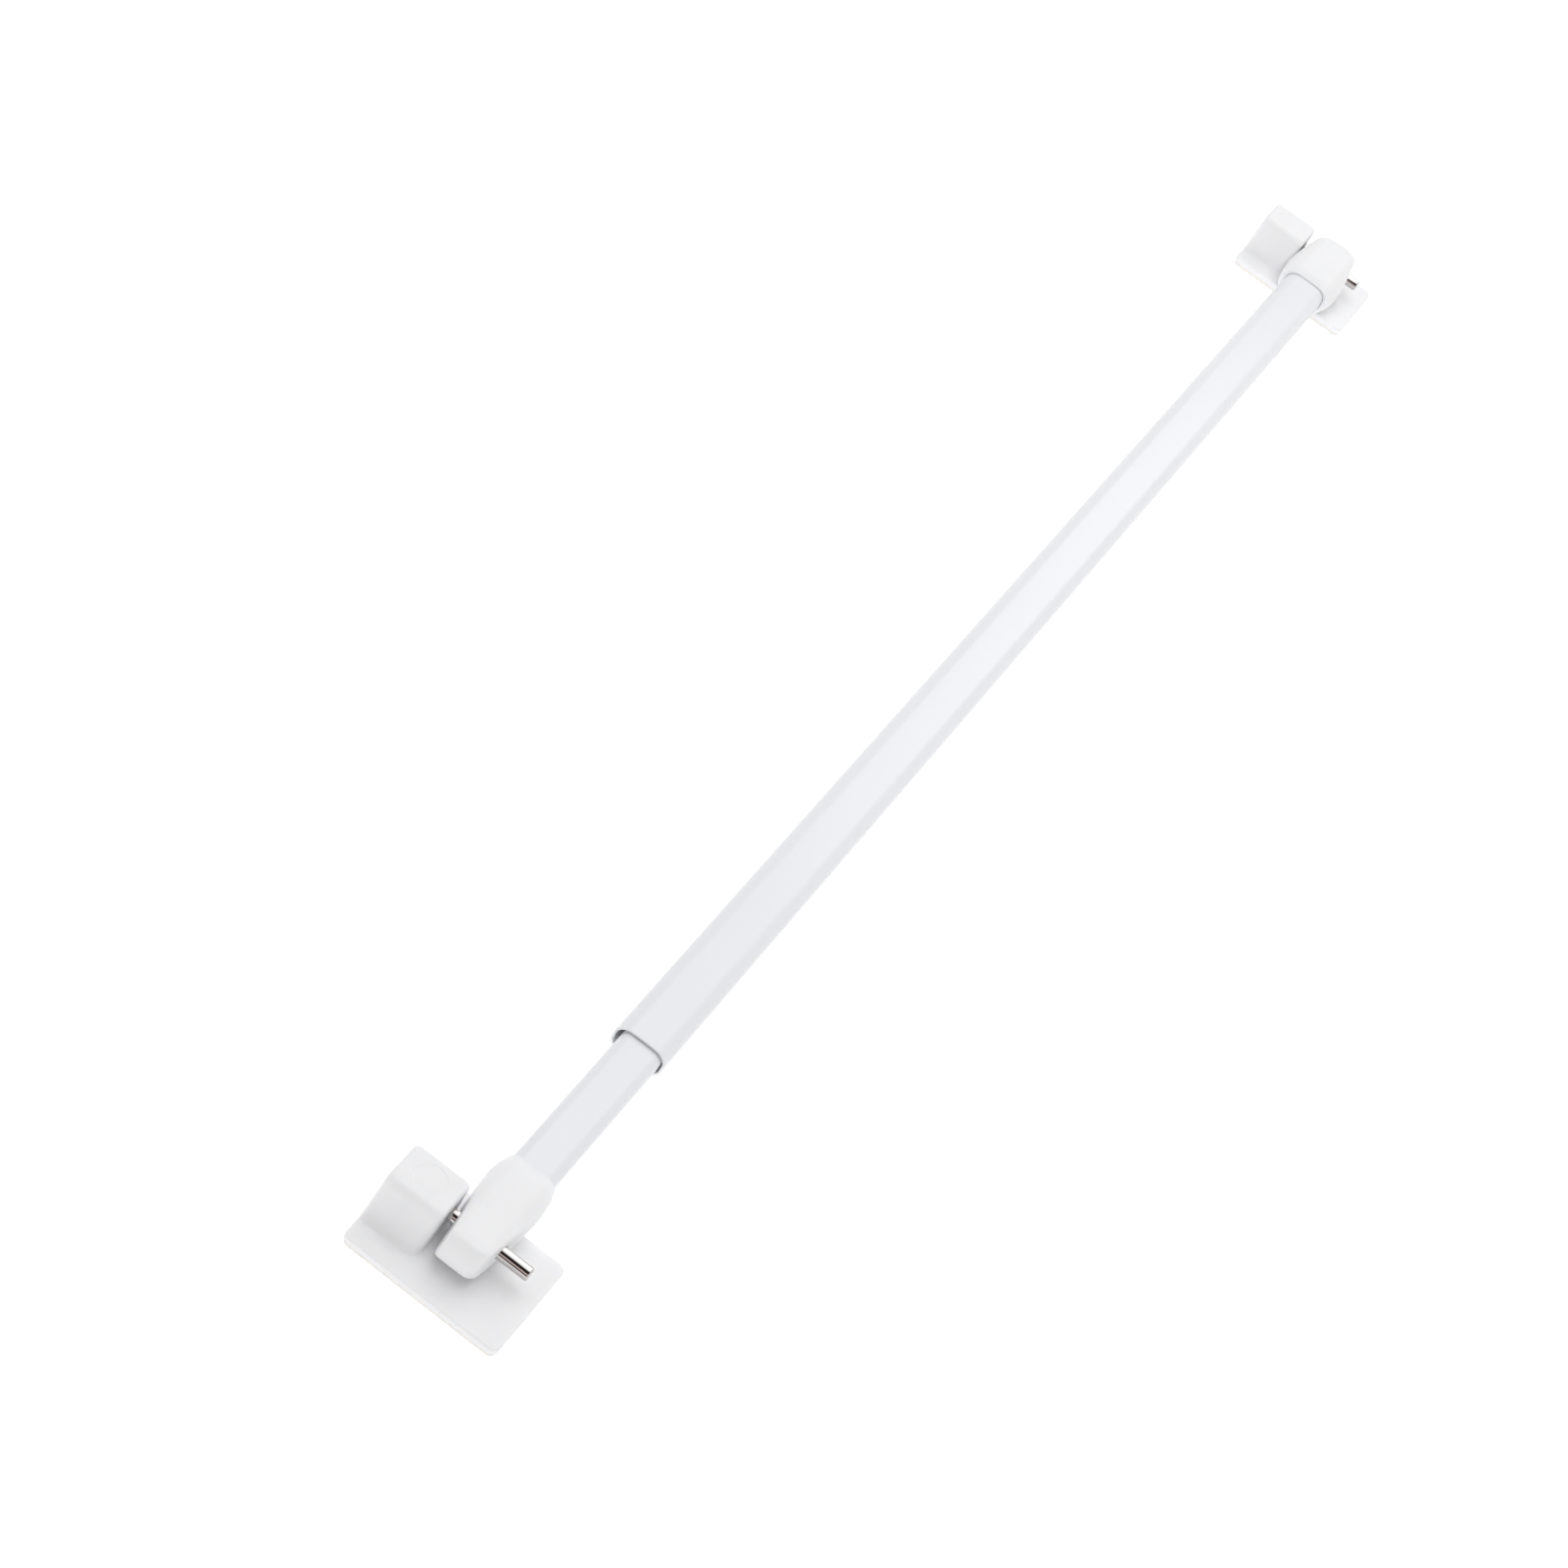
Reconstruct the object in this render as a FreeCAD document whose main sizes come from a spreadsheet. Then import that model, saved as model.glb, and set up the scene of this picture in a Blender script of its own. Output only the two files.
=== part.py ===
import FreeCAD
import Part
import math
import os

import Sketcher

# A white telescopic curtain rod for a window sash. Two flat-oval steel tubes slide in
# each other. Each carries a moulded end piece with a cross hole, the eye, that drops
# over a steel pin. The pin stands in the block of a self-adhesive bracket.
#
# Frame in millimetres: X runs along the rod from the inner tube's end to the outer
# tube's end, Y from the pin's free end towards the block, Z up from the adhesive face.
# The origin is at the middle of the bounding box's underside.

# Each row is a size's name, its value in millimetres and what it is.
SIZES = [
    ("outer_width", 12.2, "outer tube, width across"),
    ("outer_height", 7.8, "outer tube, height"),
    ("outer_corner", 3.0, "outer tube, radius of its shoulders"),
    ("outer_showing", 368, "outer tube, length in view"),
    ("tube_wall", 0.5, "sheet thickness of both tubes"),
    ("tube_seam", 0.4, "open seam along the underside of both tubes"),
    ("slide_side_clearance", 0.7, "gap between the tubes at each side"),
    ("slide_top_clearance", 0.35, "gap between the tubes above and below"),
    ("inner_side_shift", 0.3, "how far the inner tube lies off the middle"),
    ("inner_showing", 41, "inner tube, length in view as drawn out"),
    ("inner_inside", 256, "inner tube, length inside the outer one"),
    ("small_eye_socket", 12.5, "small eye, depth of tube in it"),
    ("small_eye_reach", 8.3, "small eye, pin axis to tip"),
    ("small_eye_neck", 11.8, "small eye, pin axis to where its dome starts"),
    ("small_eye_shoulder", 6.3, "small eye, length of its dome to the mouth"),
    ("small_eye_drop", 1.15, "small eye, how far its dome falls in to the mouth"),
    ("small_eye_width", 13.2, "small eye, widest"),
    ("small_eye_height", 9.0, "small eye"),
    ("small_eye_round", 3.9, "small eye, radius of its long edges"),
    ("small_eye_bend", 5.5, "small eye, pin axis to the bend in its flanks"),
    ("small_eye_bend_width", 12.3, "small eye, width at the bend"),
    ("small_eye_tip_width", 8.0, "small eye, width at the tip"),
    ("small_eye_tip_corner", 1.0, "small eye, radius of the tip's upright corners"),
    ("small_eye_tip_margin", 1.2, "small eye, tip arc's radius over half its height"),
    ("large_eye_socket", 13.5, "large eye, depth of tube in it"),
    ("large_eye_reach", 7.8, "large eye, pin axis to tip"),
    ("large_eye_neck", 12.0, "large eye, pin axis to where its dome starts"),
    ("large_eye_shoulder", 7.1, "large eye, length of its dome to the mouth"),
    ("large_eye_drop", 1.05, "large eye, how far its dome falls in to the mouth"),
    ("large_eye_width", 16.9, "large eye, widest"),
    ("large_eye_height", 10.4, "large eye"),
    ("large_eye_round", 4.9, "large eye, radius of its long edges"),
    ("large_eye_bend", 5.5, "large eye, pin axis to the bend in its flanks"),
    ("large_eye_bend_width", 15.3, "large eye, width at the bend"),
    ("large_eye_tip_width", 10.8, "large eye, width at the tip"),
    ("large_eye_tip_corner", 3.4, "large eye, radius of the tip's upright corners"),
    ("large_eye_tip_margin", 0.4, "large eye, tip arc's radius over half its height"),
    ("dome_gentle_length", 0.57, "share of a dome's length that falls gently"),
    ("dome_gentle_drop", 0.22, "share of a dome's drop over that length"),
    ("dome_blend", 7, "radius between the gentle and the steep part of a dome"),
    ("pin_radius", 1.5, "pin"),
    ("pin_chamfer", 0.3, "chamfer at both ends of the pin"),
    ("pin_reach", 18.8, "pin, out of the block"),
    ("pin_embed", 9, "pin, in the block"),
    ("pin_running_clearance", 0.08, "radial gap of the pin in eye and block"),
    ("pin_bottom_clearance", 0.1, "gap behind the pin's hidden end"),
    ("plate_tail", 14.4, "plate, pin axis to the edge on the slope's side"),
    ("plate_nose", 10.9, "plate, pin axis to the other edge"),
    ("plate_front", 22.8, "plate, block face to the edge under the pin"),
    ("plate_thickness", 1.5, "plate"),
    ("plate_corner", 1.6, "plate, corner radius"),
    ("plate_edge_round", 0.35, "plate, radius of its upper edge"),
    ("block_half_length", 5.4, "block, pin axis to each end along the rod"),
    ("block_depth", 13, "block, across the rod"),
    ("block_cap", 4.1, "block, pin axis to its top"),
    ("block_round", 0.8, "block, radius of the top edges"),
    ("block_corner", 1.0, "block, radius of the upright edges"),
    ("block_eye_clearance", 0.55, "gap between the block's corner and the eye's flank"),
    ("slope_run", 3.3, "slope beside the block, length along the rod"),
    ("slope_hollow", 0.6, "slope, depth of its hollow"),
    ("mark_radius", 3.5, "round moulding mark on the block's top"),
    ("mark_depth", 0.12, "round moulding mark"),
    ("eye_plate_clearance", 0.7, "gap between the large eye and the plate"),
    ("foam_thickness", 0.8, "adhesive foam under the plate"),
    ("foam_inset", 0.3, "foam, inside the plate's outline"),
    ("liner_thickness", 0.15, "release paper under the foam"),
    ("plug_fit", 0.1, "gap round the plug in the inner tube"),
    ("plug_guide_gap", 0.15, "gap round the plug's head in the outer tube"),
    ("plug_spigot", 18, "plug, length in the inner tube"),
    ("plug_head", 3, "plug, length of its head"),
    ("plug_foot", 3, "plug, length of its foot"),
    ("plug_beam", 2.2, "plug, thickness of the beam from head to foot"),
    ("leaf_span", 22, "friction leaf, length between head and foot"),
    ("leaf_end_gap", 0.1, "friction leaf, gap at each end"),
    ("leaf_thickness", 0.25, "friction leaf"),
    ("leaf_width", 5, "friction leaf"),
    ("leaf_wall_gap", 0.04, "friction leaf's crown to the outer tube's floor"),
]

# Sizes that follow from others, as expressions over the sheet.
INNER_WIDTH = "(Sizes.outer_width - 2 * Sizes.tube_wall - 2 * Sizes.slide_side_clearance)"
INNER_HEIGHT = "(Sizes.outer_height - 2 * Sizes.tube_wall - 2 * Sizes.slide_top_clearance)"
INNER_CORNER = "(Sizes.outer_corner - Sizes.tube_wall - Sizes.slide_top_clearance)"
PIN_HEIGHT = "(Sizes.large_eye_height / 2 + Sizes.eye_plate_clearance)"
BLOCK_HEIGHT = f"({PIN_HEIGHT} + Sizes.block_cap)"
BORE_RADIUS = "(Sizes.pin_radius + Sizes.pin_running_clearance)"
SMALL_MOUTH = "(Sizes.small_eye_neck + Sizes.small_eye_shoulder)"
LARGE_MOUTH = "(Sizes.large_eye_neck + Sizes.large_eye_shoulder)"
SPAN = f"({SMALL_MOUTH} + Sizes.inner_showing + Sizes.outer_showing + {LARGE_MOUTH})"
LENGTH = f"({SPAN} + Sizes.plate_tail + Sizes.plate_nose)"
INNER_LENGTH = "(Sizes.small_eye_socket + Sizes.inner_showing + Sizes.inner_inside)"


def block_face(kind):
    """Eye axis to block face: the eye's half width at the block's corner and a gap."""
    tip, bend = f"Sizes.{kind}_eye_tip_width", f"Sizes.{kind}_eye_bend_width"
    reach = f"Sizes.{kind}_eye_reach"
    share = f"({reach} + Sizes.block_half_length) / ({reach} + Sizes.{kind}_eye_bend)"
    return f"(({tip} + ({bend} - {tip}) * {share}) / 2 + Sizes.block_eye_clearance)"


# Where the pieces stand in the whole.
NEAR_FACE = f"({block_face('small')} - Sizes.inner_side_shift)"
FAR_FACE = block_face("large")
ROD_Y = f"((Sizes.plate_front - Sizes.block_depth - {NEAR_FACE} - {FAR_FACE}) / 2)"
PLATE_Z = "(Sizes.liner_thickness + Sizes.foam_thickness)"
ROD_Z = f"({PLATE_Z} + Sizes.plate_thickness + {PIN_HEIGHT})"
NEAR_PIN_X = f"(Sizes.plate_tail - {LENGTH} / 2)"
FAR_PIN_X = f"({NEAR_PIN_X} + {SPAN})"
MOUTH_X = f"({NEAR_PIN_X} + {SMALL_MOUTH} + Sizes.inner_showing)"
INNER_Y = f"({ROD_Y} - Sizes.inner_side_shift)"

THROUGH_ALL = 1
TURNED_END_FOR_END = 180
SAME_PLACE = 0.01

doc = FreeCAD.newDocument("CurtainRod")


def add_sheet():
    sheet = doc.addObject("Spreadsheet::Sheet", "Sizes")
    for row, (name, size, meaning) in enumerate(SIZES, start=1):
        sheet.set(f"A{row}", meaning)
        sheet.set(f"B{row}", str(size))
        sheet.setAlias(f"B{row}", name)
    doc.recompute()
    return sheet


def value(expression):
    """The expression's present value, which a sketch starts from."""
    return float(sheet.evalExpression(str(expression)))


def new_body(name, x="0", y="0", z="0", turn=0):
    """A body for one sub-part, placed in the whole by expressions."""
    body = doc.addObject("PartDesign::Body", name)
    body.Label = name
    body.Placement = FreeCAD.Placement(FreeCAD.Vector(), FreeCAD.Rotation(FreeCAD.Vector(0, 0, 1), turn))
    for axis, place in zip("xyz", (x, y, z)):
        body.setExpression(f"Placement.Base.{axis}", place)
    return body


def new_sketch(body, name, plane, offset="0"):
    """A sketch parallel to one of the body's own planes, offset along its normal."""
    sketch = body.newObject("Sketcher::SketchObject", name)
    origin_plane = [item for item in body.Origin.OriginFeatures if item.Role == plane][0]
    sketch.AttachmentSupport = [(origin_plane, "")]
    sketch.MapMode = "FlatFace"
    sketch.setExpression("AttachmentOffset.Base.z", offset)
    return sketch


def bind(sketch, kind, *args):
    """Add a dimension whose last argument is an expression."""
    *where, expression = args
    index = sketch.addConstraint(Sketcher.Constraint(kind, *where, value(expression)))
    sketch.setExpression(f"Constraints[{index}]", expression)


def pin_point(sketch, geometry, vertex, x, y):
    """Hold one end of a line or arc at expressions for its two coordinates."""
    bind(sketch, "DistanceX", geometry, vertex, x)
    bind(sketch, "DistanceY", geometry, vertex, y)


def draw_circle(sketch, radius, x="0", y="0"):
    centre = FreeCAD.Vector(value(x), value(y), 0)
    index = sketch.addGeometry(Part.Circle(centre, FreeCAD.Vector(0, 0, 1), value(radius)))
    bind(sketch, "Radius", index, radius)
    pin_point(sketch, index, 3, x, y)


def draw_outline(sketch, points, arcs=None):
    """A closed outline through points, each a pair of expressions.

    arcs maps the number of a side to the expression pair of a point on that side.
    """
    arcs = arcs or {}
    corners = [FreeCAD.Vector(value(x), value(y), 0) for x, y in points]
    count = len(corners)
    first = sketch.GeometryCount
    for side in range(count):
        start, end = corners[side], corners[(side + 1) % count]
        if side in arcs:
            middle = FreeCAD.Vector(value(arcs[side][0]), value(arcs[side][1]), 0)
            sketch.addGeometry(Part.Arc(start, middle, end))
        else:
            sketch.addGeometry(Part.LineSegment(start, end))
    for side in range(count):
        if side not in arcs:
            follower = (side + 1) % count
            meets = first + follower
            vertex = 1
            if follower in arcs:
                vertex = near_vertex(sketch, meets, corners[follower])
            sketch.addConstraint(Sketcher.Constraint("Coincident", first + side, 2, meets, vertex))
            pin_point(sketch, first + side, 1, *points[side])
    for side, through in arcs.items():
        follower = (side + 1) % count
        last = near_vertex(sketch, first + side, corners[follower])
        sketch.addConstraint(Sketcher.Constraint("Coincident", first + side, last, first + follower, 1))
        rest = sketch.addGeometry(Part.Point(FreeCAD.Vector(value(through[0]), value(through[1]), 0)), True)
        pin_point(sketch, rest, 1, *through)
        sketch.addConstraint(Sketcher.Constraint("PointOnObject", rest, 1, first + side))


def near_vertex(sketch, geometry, place):
    """Number of the arc end that lies at a place, since an arc may run either way."""
    gaps = [sketch.getPoint(geometry, vertex).distanceToPoint(place) for vertex in (1, 2)]
    return 1 + gaps.index(min(gaps))


def draw_rounded_rectangle(sketch, width, height, radius, x="0", y="0"):
    """A rectangle with four equal round corners, centred on two expressions."""
    half_w, half_h, round_r = value(width) / 2, value(height) / 2, value(radius)
    cx, cy = value(x), value(y)
    run_w, run_h = half_w - round_r, half_h - round_r

    def at(px, py):
        return FreeCAD.Vector(cx + px, cy + py, 0)

    def corner(px, py, start):
        circle = Part.Circle(at(px, py), FreeCAD.Vector(0, 0, 1), round_r)
        return Part.ArcOfCircle(circle, start, start + math.pi / 2)

    bottom, right, top, left, low_right, high_right, high_left, low_left = sketch.addGeometry([
        Part.LineSegment(at(-run_w, -half_h), at(run_w, -half_h)),
        Part.LineSegment(at(half_w, -run_h), at(half_w, run_h)),
        Part.LineSegment(at(run_w, half_h), at(-run_w, half_h)),
        Part.LineSegment(at(-half_w, run_h), at(-half_w, -run_h)),
        corner(run_w, -run_h, -math.pi / 2),
        corner(run_w, run_h, 0),
        corner(-run_w, run_h, math.pi / 2),
        corner(-run_w, -run_h, math.pi),
    ])
    chain = [bottom, low_right, right, high_right, top, high_left, left, low_left]
    for piece, follower in zip(chain, chain[1:] + chain[:1]):
        sketch.addConstraint(Sketcher.Constraint("Tangent", piece, 2, follower, 1))
    for line in (bottom, top):
        sketch.addConstraint(Sketcher.Constraint("Horizontal", line))
    for line in (right, left):
        sketch.addConstraint(Sketcher.Constraint("Vertical", line))
    for arc in (high_right, high_left, low_left):
        sketch.addConstraint(Sketcher.Constraint("Equal", low_right, arc))
    bind(sketch, "Radius", low_right, radius)
    bind(sketch, "DistanceX", left, 1, right, 1, width)
    bind(sketch, "DistanceY", bottom, 1, top, 1, height)
    bind(sketch, "DistanceX", right, 1, f"{x} + {width} / 2")
    bind(sketch, "DistanceY", top, 1, f"{y} + {height} / 2")


def pad(body, sketch, name, length, backwards=False, midplane=False, taper="0"):
    feature = body.newObject("PartDesign::Pad", name)
    feature.Profile = sketch
    feature.setExpression("Length", length)
    feature.setExpression("TaperAngle", taper)
    feature.Reversed = backwards
    feature.Midplane = midplane


def cut(body, sketch, name, length=None, backwards=False, midplane=False):
    """Cut a sketch out of a body, to a depth or right through, and test that it cut."""
    doc.recompute()
    before = body.Shape.Volume
    feature = body.newObject("PartDesign::Pocket", name)
    feature.Profile = sketch
    feature.Reversed = backwards
    feature.Midplane = midplane
    if length is None:
        feature.Type = THROUGH_ALL
    else:
        feature.setExpression("Length", length)
    doc.recompute()
    if body.Shape.Volume >= before:
        raise RuntimeError(f"{body.Label}: {name} cuts nothing")


def break_edges(body, name, kind, size, wanted):
    """Fillet or chamfer the edges of a body's last feature that a test picks."""
    doc.recompute()
    base = body.Tip
    names = [f"Edge{i}" for i, edge in enumerate(base.Shape.Edges, start=1) if wanted(edge)]
    feature = body.newObject(f"PartDesign::{kind}", name)
    feature.Base = (base, names)
    feature.setExpression("Radius" if kind == "Fillet" else "Size", size)
    doc.recompute()


def along(edge, axis):
    """True for a straight edge parallel to an axis, given as x, y or z."""
    if not isinstance(edge.Curve, Part.Line):
        return False
    return abs(getattr(edge.Curve.Direction, axis)) > 1 - SAME_PLACE


def tube(name, x, y, length, width, height, corner):
    """A roll-formed flat-oval tube from its mouth along +X, with a seam underneath."""
    body = new_body(name, x, y, ROD_Z)
    section = new_sketch(body, f"{name}_section", "YZ_Plane")
    draw_rounded_rectangle(section, width, height, corner)
    wall = "2 * Sizes.tube_wall"
    draw_rounded_rectangle(section, f"({width} - {wall})", f"({height} - {wall})", f"({corner} - Sizes.tube_wall)")
    pad(body, section, f"{name}_strip", length)
    seam = new_sketch(body, f"{name}_seam_line", "YZ_Plane")
    half = "Sizes.tube_seam / 2"
    low, high = f"-{height} / 2 - Sizes.tube_wall", f"-{height} / 2 + 2 * Sizes.tube_wall"
    draw_outline(seam, [(f"-{half}", low), (half, low), (half, high), (f"-{half}", high)])
    cut(body, seam, f"{name}_seam", backwards=True)


def eye(name, kind, x, y, turn, tube_width, tube_height, tube_corner):
    """A moulded end piece: tube socket, domed shoulder, tapered tongue, pin hole.

    Its pin axis is at its own origin, its mouth towards +X and its tip towards -X.
    """
    size = f"Sizes.{kind}_eye_"
    body = new_body(name, x, y, ROD_Z, turn)
    barrel = new_sketch(body, f"{name}_barrel_section", "YZ_Plane", f"-{size}reach")
    draw_rounded_rectangle(barrel, f"{size}width", f"{size}height", f"{size}round")
    pad(body, barrel, f"{name}_barrel", f"({size}reach + {size}neck)")
    dome(body, name, size)
    for side in (1, -1):
        flank(body, f"{name}_flank_{'left' if side > 0 else 'right'}", size, side)
    tip_arc(body, name, size)

    mouth = f"({size}neck + {size}shoulder)"
    socket = new_sketch(body, f"{name}_socket_section", "YZ_Plane", mouth)
    draw_rounded_rectangle(socket, tube_width, tube_height, tube_corner)
    cut(body, socket, f"{name}_socket", f"{size}socket")
    hole = new_sketch(body, f"{name}_hole_circle", "XZ_Plane")
    draw_circle(hole, BORE_RADIUS)
    cut(body, hole, f"{name}_hole", midplane=True)


def dome(body, name, size):
    """The shoulder towards the mouth: a gentle taper, a steeper one and a blend."""
    gentle_length = f"({size}shoulder * Sizes.dome_gentle_length)"
    gentle_drop = f"({size}drop * Sizes.dome_gentle_drop)"
    steep_start = f"({size}neck + {gentle_length})"
    for part, start, fallen, length, drop in (
        ("gentle", f"{size}neck", "0", gentle_length, gentle_drop),
        ("steep", steep_start, gentle_drop, f"({size}shoulder - {gentle_length})", f"({size}drop - {gentle_drop})"),
    ):
        section = new_sketch(body, f"{name}_{part}_section", "YZ_Plane", start)
        draw_rounded_rectangle(section, f"({size}width - 2 * {fallen})", f"({size}height - 2 * {fallen})",
                               f"({size}round - {fallen})")
        pad(body, section, f"{name}_{part}_dome", length, taper=f"-atan({drop} / {length})")
    place = value(steep_start)
    break_edges(body, f"{name}_dome_blend", "Fillet", "Sizes.dome_blend",
                lambda edge: abs(edge.BoundBox.XMin - place) < SAME_PLACE
                and abs(edge.BoundBox.XMax - place) < SAME_PLACE)


def flank(body, name, size, side):
    """Cut one side of the tongue to its plan outline: two straights and the tip's corner."""
    half_tip, corner = f"{size}tip_width / 2", f"{size}tip_corner"
    clear_x, clear_y = f"-{size}reach - {size}width", f"{side} * {size}width"
    slope = f"(({size}bend_width - {size}tip_width) / 2 / ({size}reach + {size}bend))"
    turned = "(1 - sqrt(0.5))"
    points = [
        (f"{size}neck", f"{side} * {size}width / 2"),
        (f"{size}bend", f"{side} * {size}bend_width / 2"),
        (f"-{size}reach + {corner}", f"{side} * ({half_tip} + {slope} * {corner})"),
        (f"-{size}reach", f"{side} * ({half_tip} - {corner})"),
        (clear_x, f"{side} * ({half_tip} - {corner})"),
        (clear_x, clear_y),
        (f"{size}neck", clear_y),
    ]
    on_corner = (f"-{size}reach + {corner} * {turned}",
                 f"{side} * ({half_tip} - {corner} * {turned} + {slope} * {corner} / 2)")
    plan = new_sketch(body, f"{name}_plan", "XY_Plane")
    draw_outline(plan, points, arcs={2: on_corner})
    cut(body, plan, name, midplane=True)


def tip_arc(body, name, size):
    """Round the tip about the pin's direction, so that the rod can tilt on the pin."""
    arc = f"({size}height / 2 + {size}tip_margin)"
    hub = f"({arc} - {size}reach)"
    clear_x, clear_z = f"-{size}reach - {arc}", f"{size}height"
    nose = new_sketch(body, f"{name}_tip_outline", "XZ_Plane")
    draw_outline(
        nose,
        [(hub, f"-{arc}"), (hub, f"-{clear_z}"), (clear_x, f"-{clear_z}"),
         (clear_x, clear_z), (hub, clear_z), (hub, arc)],
        arcs={5: (f"-{size}reach", "0")},
    )
    cut(body, nose, f"{name}_tip", midplane=True)


def bracket(name, x, y):
    """Plate and block in one moulding; the block's face is at y = 0, the pin at x = 0."""
    body = new_body(name, x, y, PLATE_Z)
    plate = new_sketch(body, f"{name}_plate_outline", "XY_Plane")
    draw_plate_outline(plate, "0")
    pad(body, plate, f"{name}_plate", "Sizes.plate_thickness")
    plate_top = value("Sizes.plate_thickness")
    break_edges(body, f"{name}_plate_edge", "Fillet", "Sizes.plate_edge_round",
                lambda edge: edge.BoundBox.ZMin > plate_top - SAME_PLACE)
    half, top = "Sizes.block_half_length", f"Sizes.plate_thickness + {BLOCK_HEIGHT}"
    foot = f"-{half} - Sizes.slope_run"
    root = "Sizes.plate_thickness / 2"
    block = new_sketch(body, f"{name}_block_outline", "XZ_Plane")
    middle_x = f"-{half} - Sizes.slope_run / 2 + Sizes.slope_hollow"
    middle_z = f"Sizes.plate_thickness + {BLOCK_HEIGHT} / 2 - Sizes.slope_hollow * Sizes.slope_run / {BLOCK_HEIGHT}"
    draw_outline(
        block,
        [(foot, root), (half, root), (half, top), (f"-{half}", top), (foot, "Sizes.plate_thickness")],
        arcs={3: (middle_x, middle_z)},
    )
    pad(body, block, f"{name}_block", "Sizes.block_depth", backwards=True)
    break_edges(body, f"{name}_block_corners", "Fillet", "Sizes.block_corner",
                lambda edge: along(edge, "z") and edge.BoundBox.XMin > 0
                and edge.BoundBox.ZMax > value(top) - SAME_PLACE
                and edge.BoundBox.YMin < SAME_PLACE)
    break_edges(body, f"{name}_block_edges", "Fillet", "Sizes.block_round",
                lambda edge: edge.BoundBox.ZMin > value(top) - SAME_PLACE)
    mark = new_sketch(body, f"{name}_mark_circle", "XY_Plane", top)
    draw_circle(mark, "Sizes.mark_radius", y="Sizes.block_depth / 2")
    cut(body, mark, f"{name}_mark", "Sizes.mark_depth")
    hole = new_sketch(body, f"{name}_hole_circle", "XZ_Plane")
    draw_circle(hole, BORE_RADIUS, y=f"Sizes.plate_thickness + {PIN_HEIGHT}")
    cut(body, hole, f"{name}_hole", "Sizes.pin_embed + Sizes.pin_bottom_clearance")


def draw_plate_outline(sketch, inset):
    """The plate's outline, or the same drawn inwards by an inset."""
    draw_rounded_rectangle(
        sketch,
        f"(Sizes.plate_tail + Sizes.plate_nose - 2 * {inset})",
        f"(Sizes.plate_front + Sizes.block_depth - 2 * {inset})",
        f"(Sizes.plate_corner - {inset})",
        "(Sizes.plate_nose - Sizes.plate_tail) / 2",
        "(Sizes.block_depth - Sizes.plate_front) / 2",
    )


def sheet_under_plate(name, x, y, z, thickness):
    """Foam or release paper, cut to the plate's outline."""
    body = new_body(name, x, y, z)
    outline = new_sketch(body, f"{name}_outline", "XY_Plane")
    draw_plate_outline(outline, "Sizes.foam_inset")
    pad(body, outline, f"{name}_sheet", thickness)


def pin(name, x, y):
    """A headless pin, chamfered at both ends, out of the block towards -Y."""
    body = new_body(name, x, y, ROD_Z)
    section = new_sketch(body, f"{name}_circle", "XZ_Plane", "-Sizes.pin_embed")
    draw_circle(section, "Sizes.pin_radius")
    pad(body, section, f"{name}_rod", "Sizes.pin_embed + Sizes.pin_reach")
    break_edges(body, f"{name}_chamfer", "Chamfer", "Sizes.pin_chamfer", lambda edge: edge.isClosed())


def plug_block(body, name, start, length, width, height, radius):
    """One full section of the plug, from a place along it."""
    section = new_sketch(body, f"{name}_section", "YZ_Plane", start)
    draw_rounded_rectangle(section, width, height, radius)
    pad(body, section, name, length)


def guide_plug():
    """Plastic plug: spigot in the inner tube, head and foot that run in the outer one."""
    name = "guide_plug"
    body = new_body(name, f"({MOUTH_X} + Sizes.inner_inside)", INNER_Y, ROD_Z)
    gap = "2 * (Sizes.tube_wall + Sizes.plug_fit)"
    plug_block(body, f"{name}_spigot", "-Sizes.plug_spigot", "Sizes.plug_spigot",
               f"({INNER_WIDTH} - {gap})", f"({INNER_HEIGHT} - {gap})",
               f"({INNER_CORNER} - Sizes.tube_wall - Sizes.plug_fit)")
    guide = "2 * (Sizes.tube_wall + Sizes.plug_guide_gap)"
    width = f"(Sizes.outer_width - {guide} - 2 * Sizes.inner_side_shift)"
    height = f"(Sizes.outer_height - {guide})"
    radius = "(Sizes.outer_corner - Sizes.tube_wall - Sizes.plug_guide_gap)"
    for part, start, length in (
        ("head", "0", "Sizes.plug_head"),
        ("foot", "Sizes.plug_head + Sizes.leaf_span", "Sizes.plug_foot"),
    ):
        plug_block(body, f"{name}_{part}", start, length, width, height, radius)
    beam = new_sketch(body, f"{name}_beam_outline", "XZ_Plane")
    top = f"{height} / 2"
    low = f"{top} - Sizes.plug_beam"
    start, end = "Sizes.plug_head / 2", "Sizes.plug_head * 1.5 + Sizes.leaf_span"
    draw_outline(beam, [(start, low), (end, low), (end, top), (start, top)])
    pad(body, beam, f"{name}_beam", f"({width} - 2 * {radius})", midplane=True)


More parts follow.
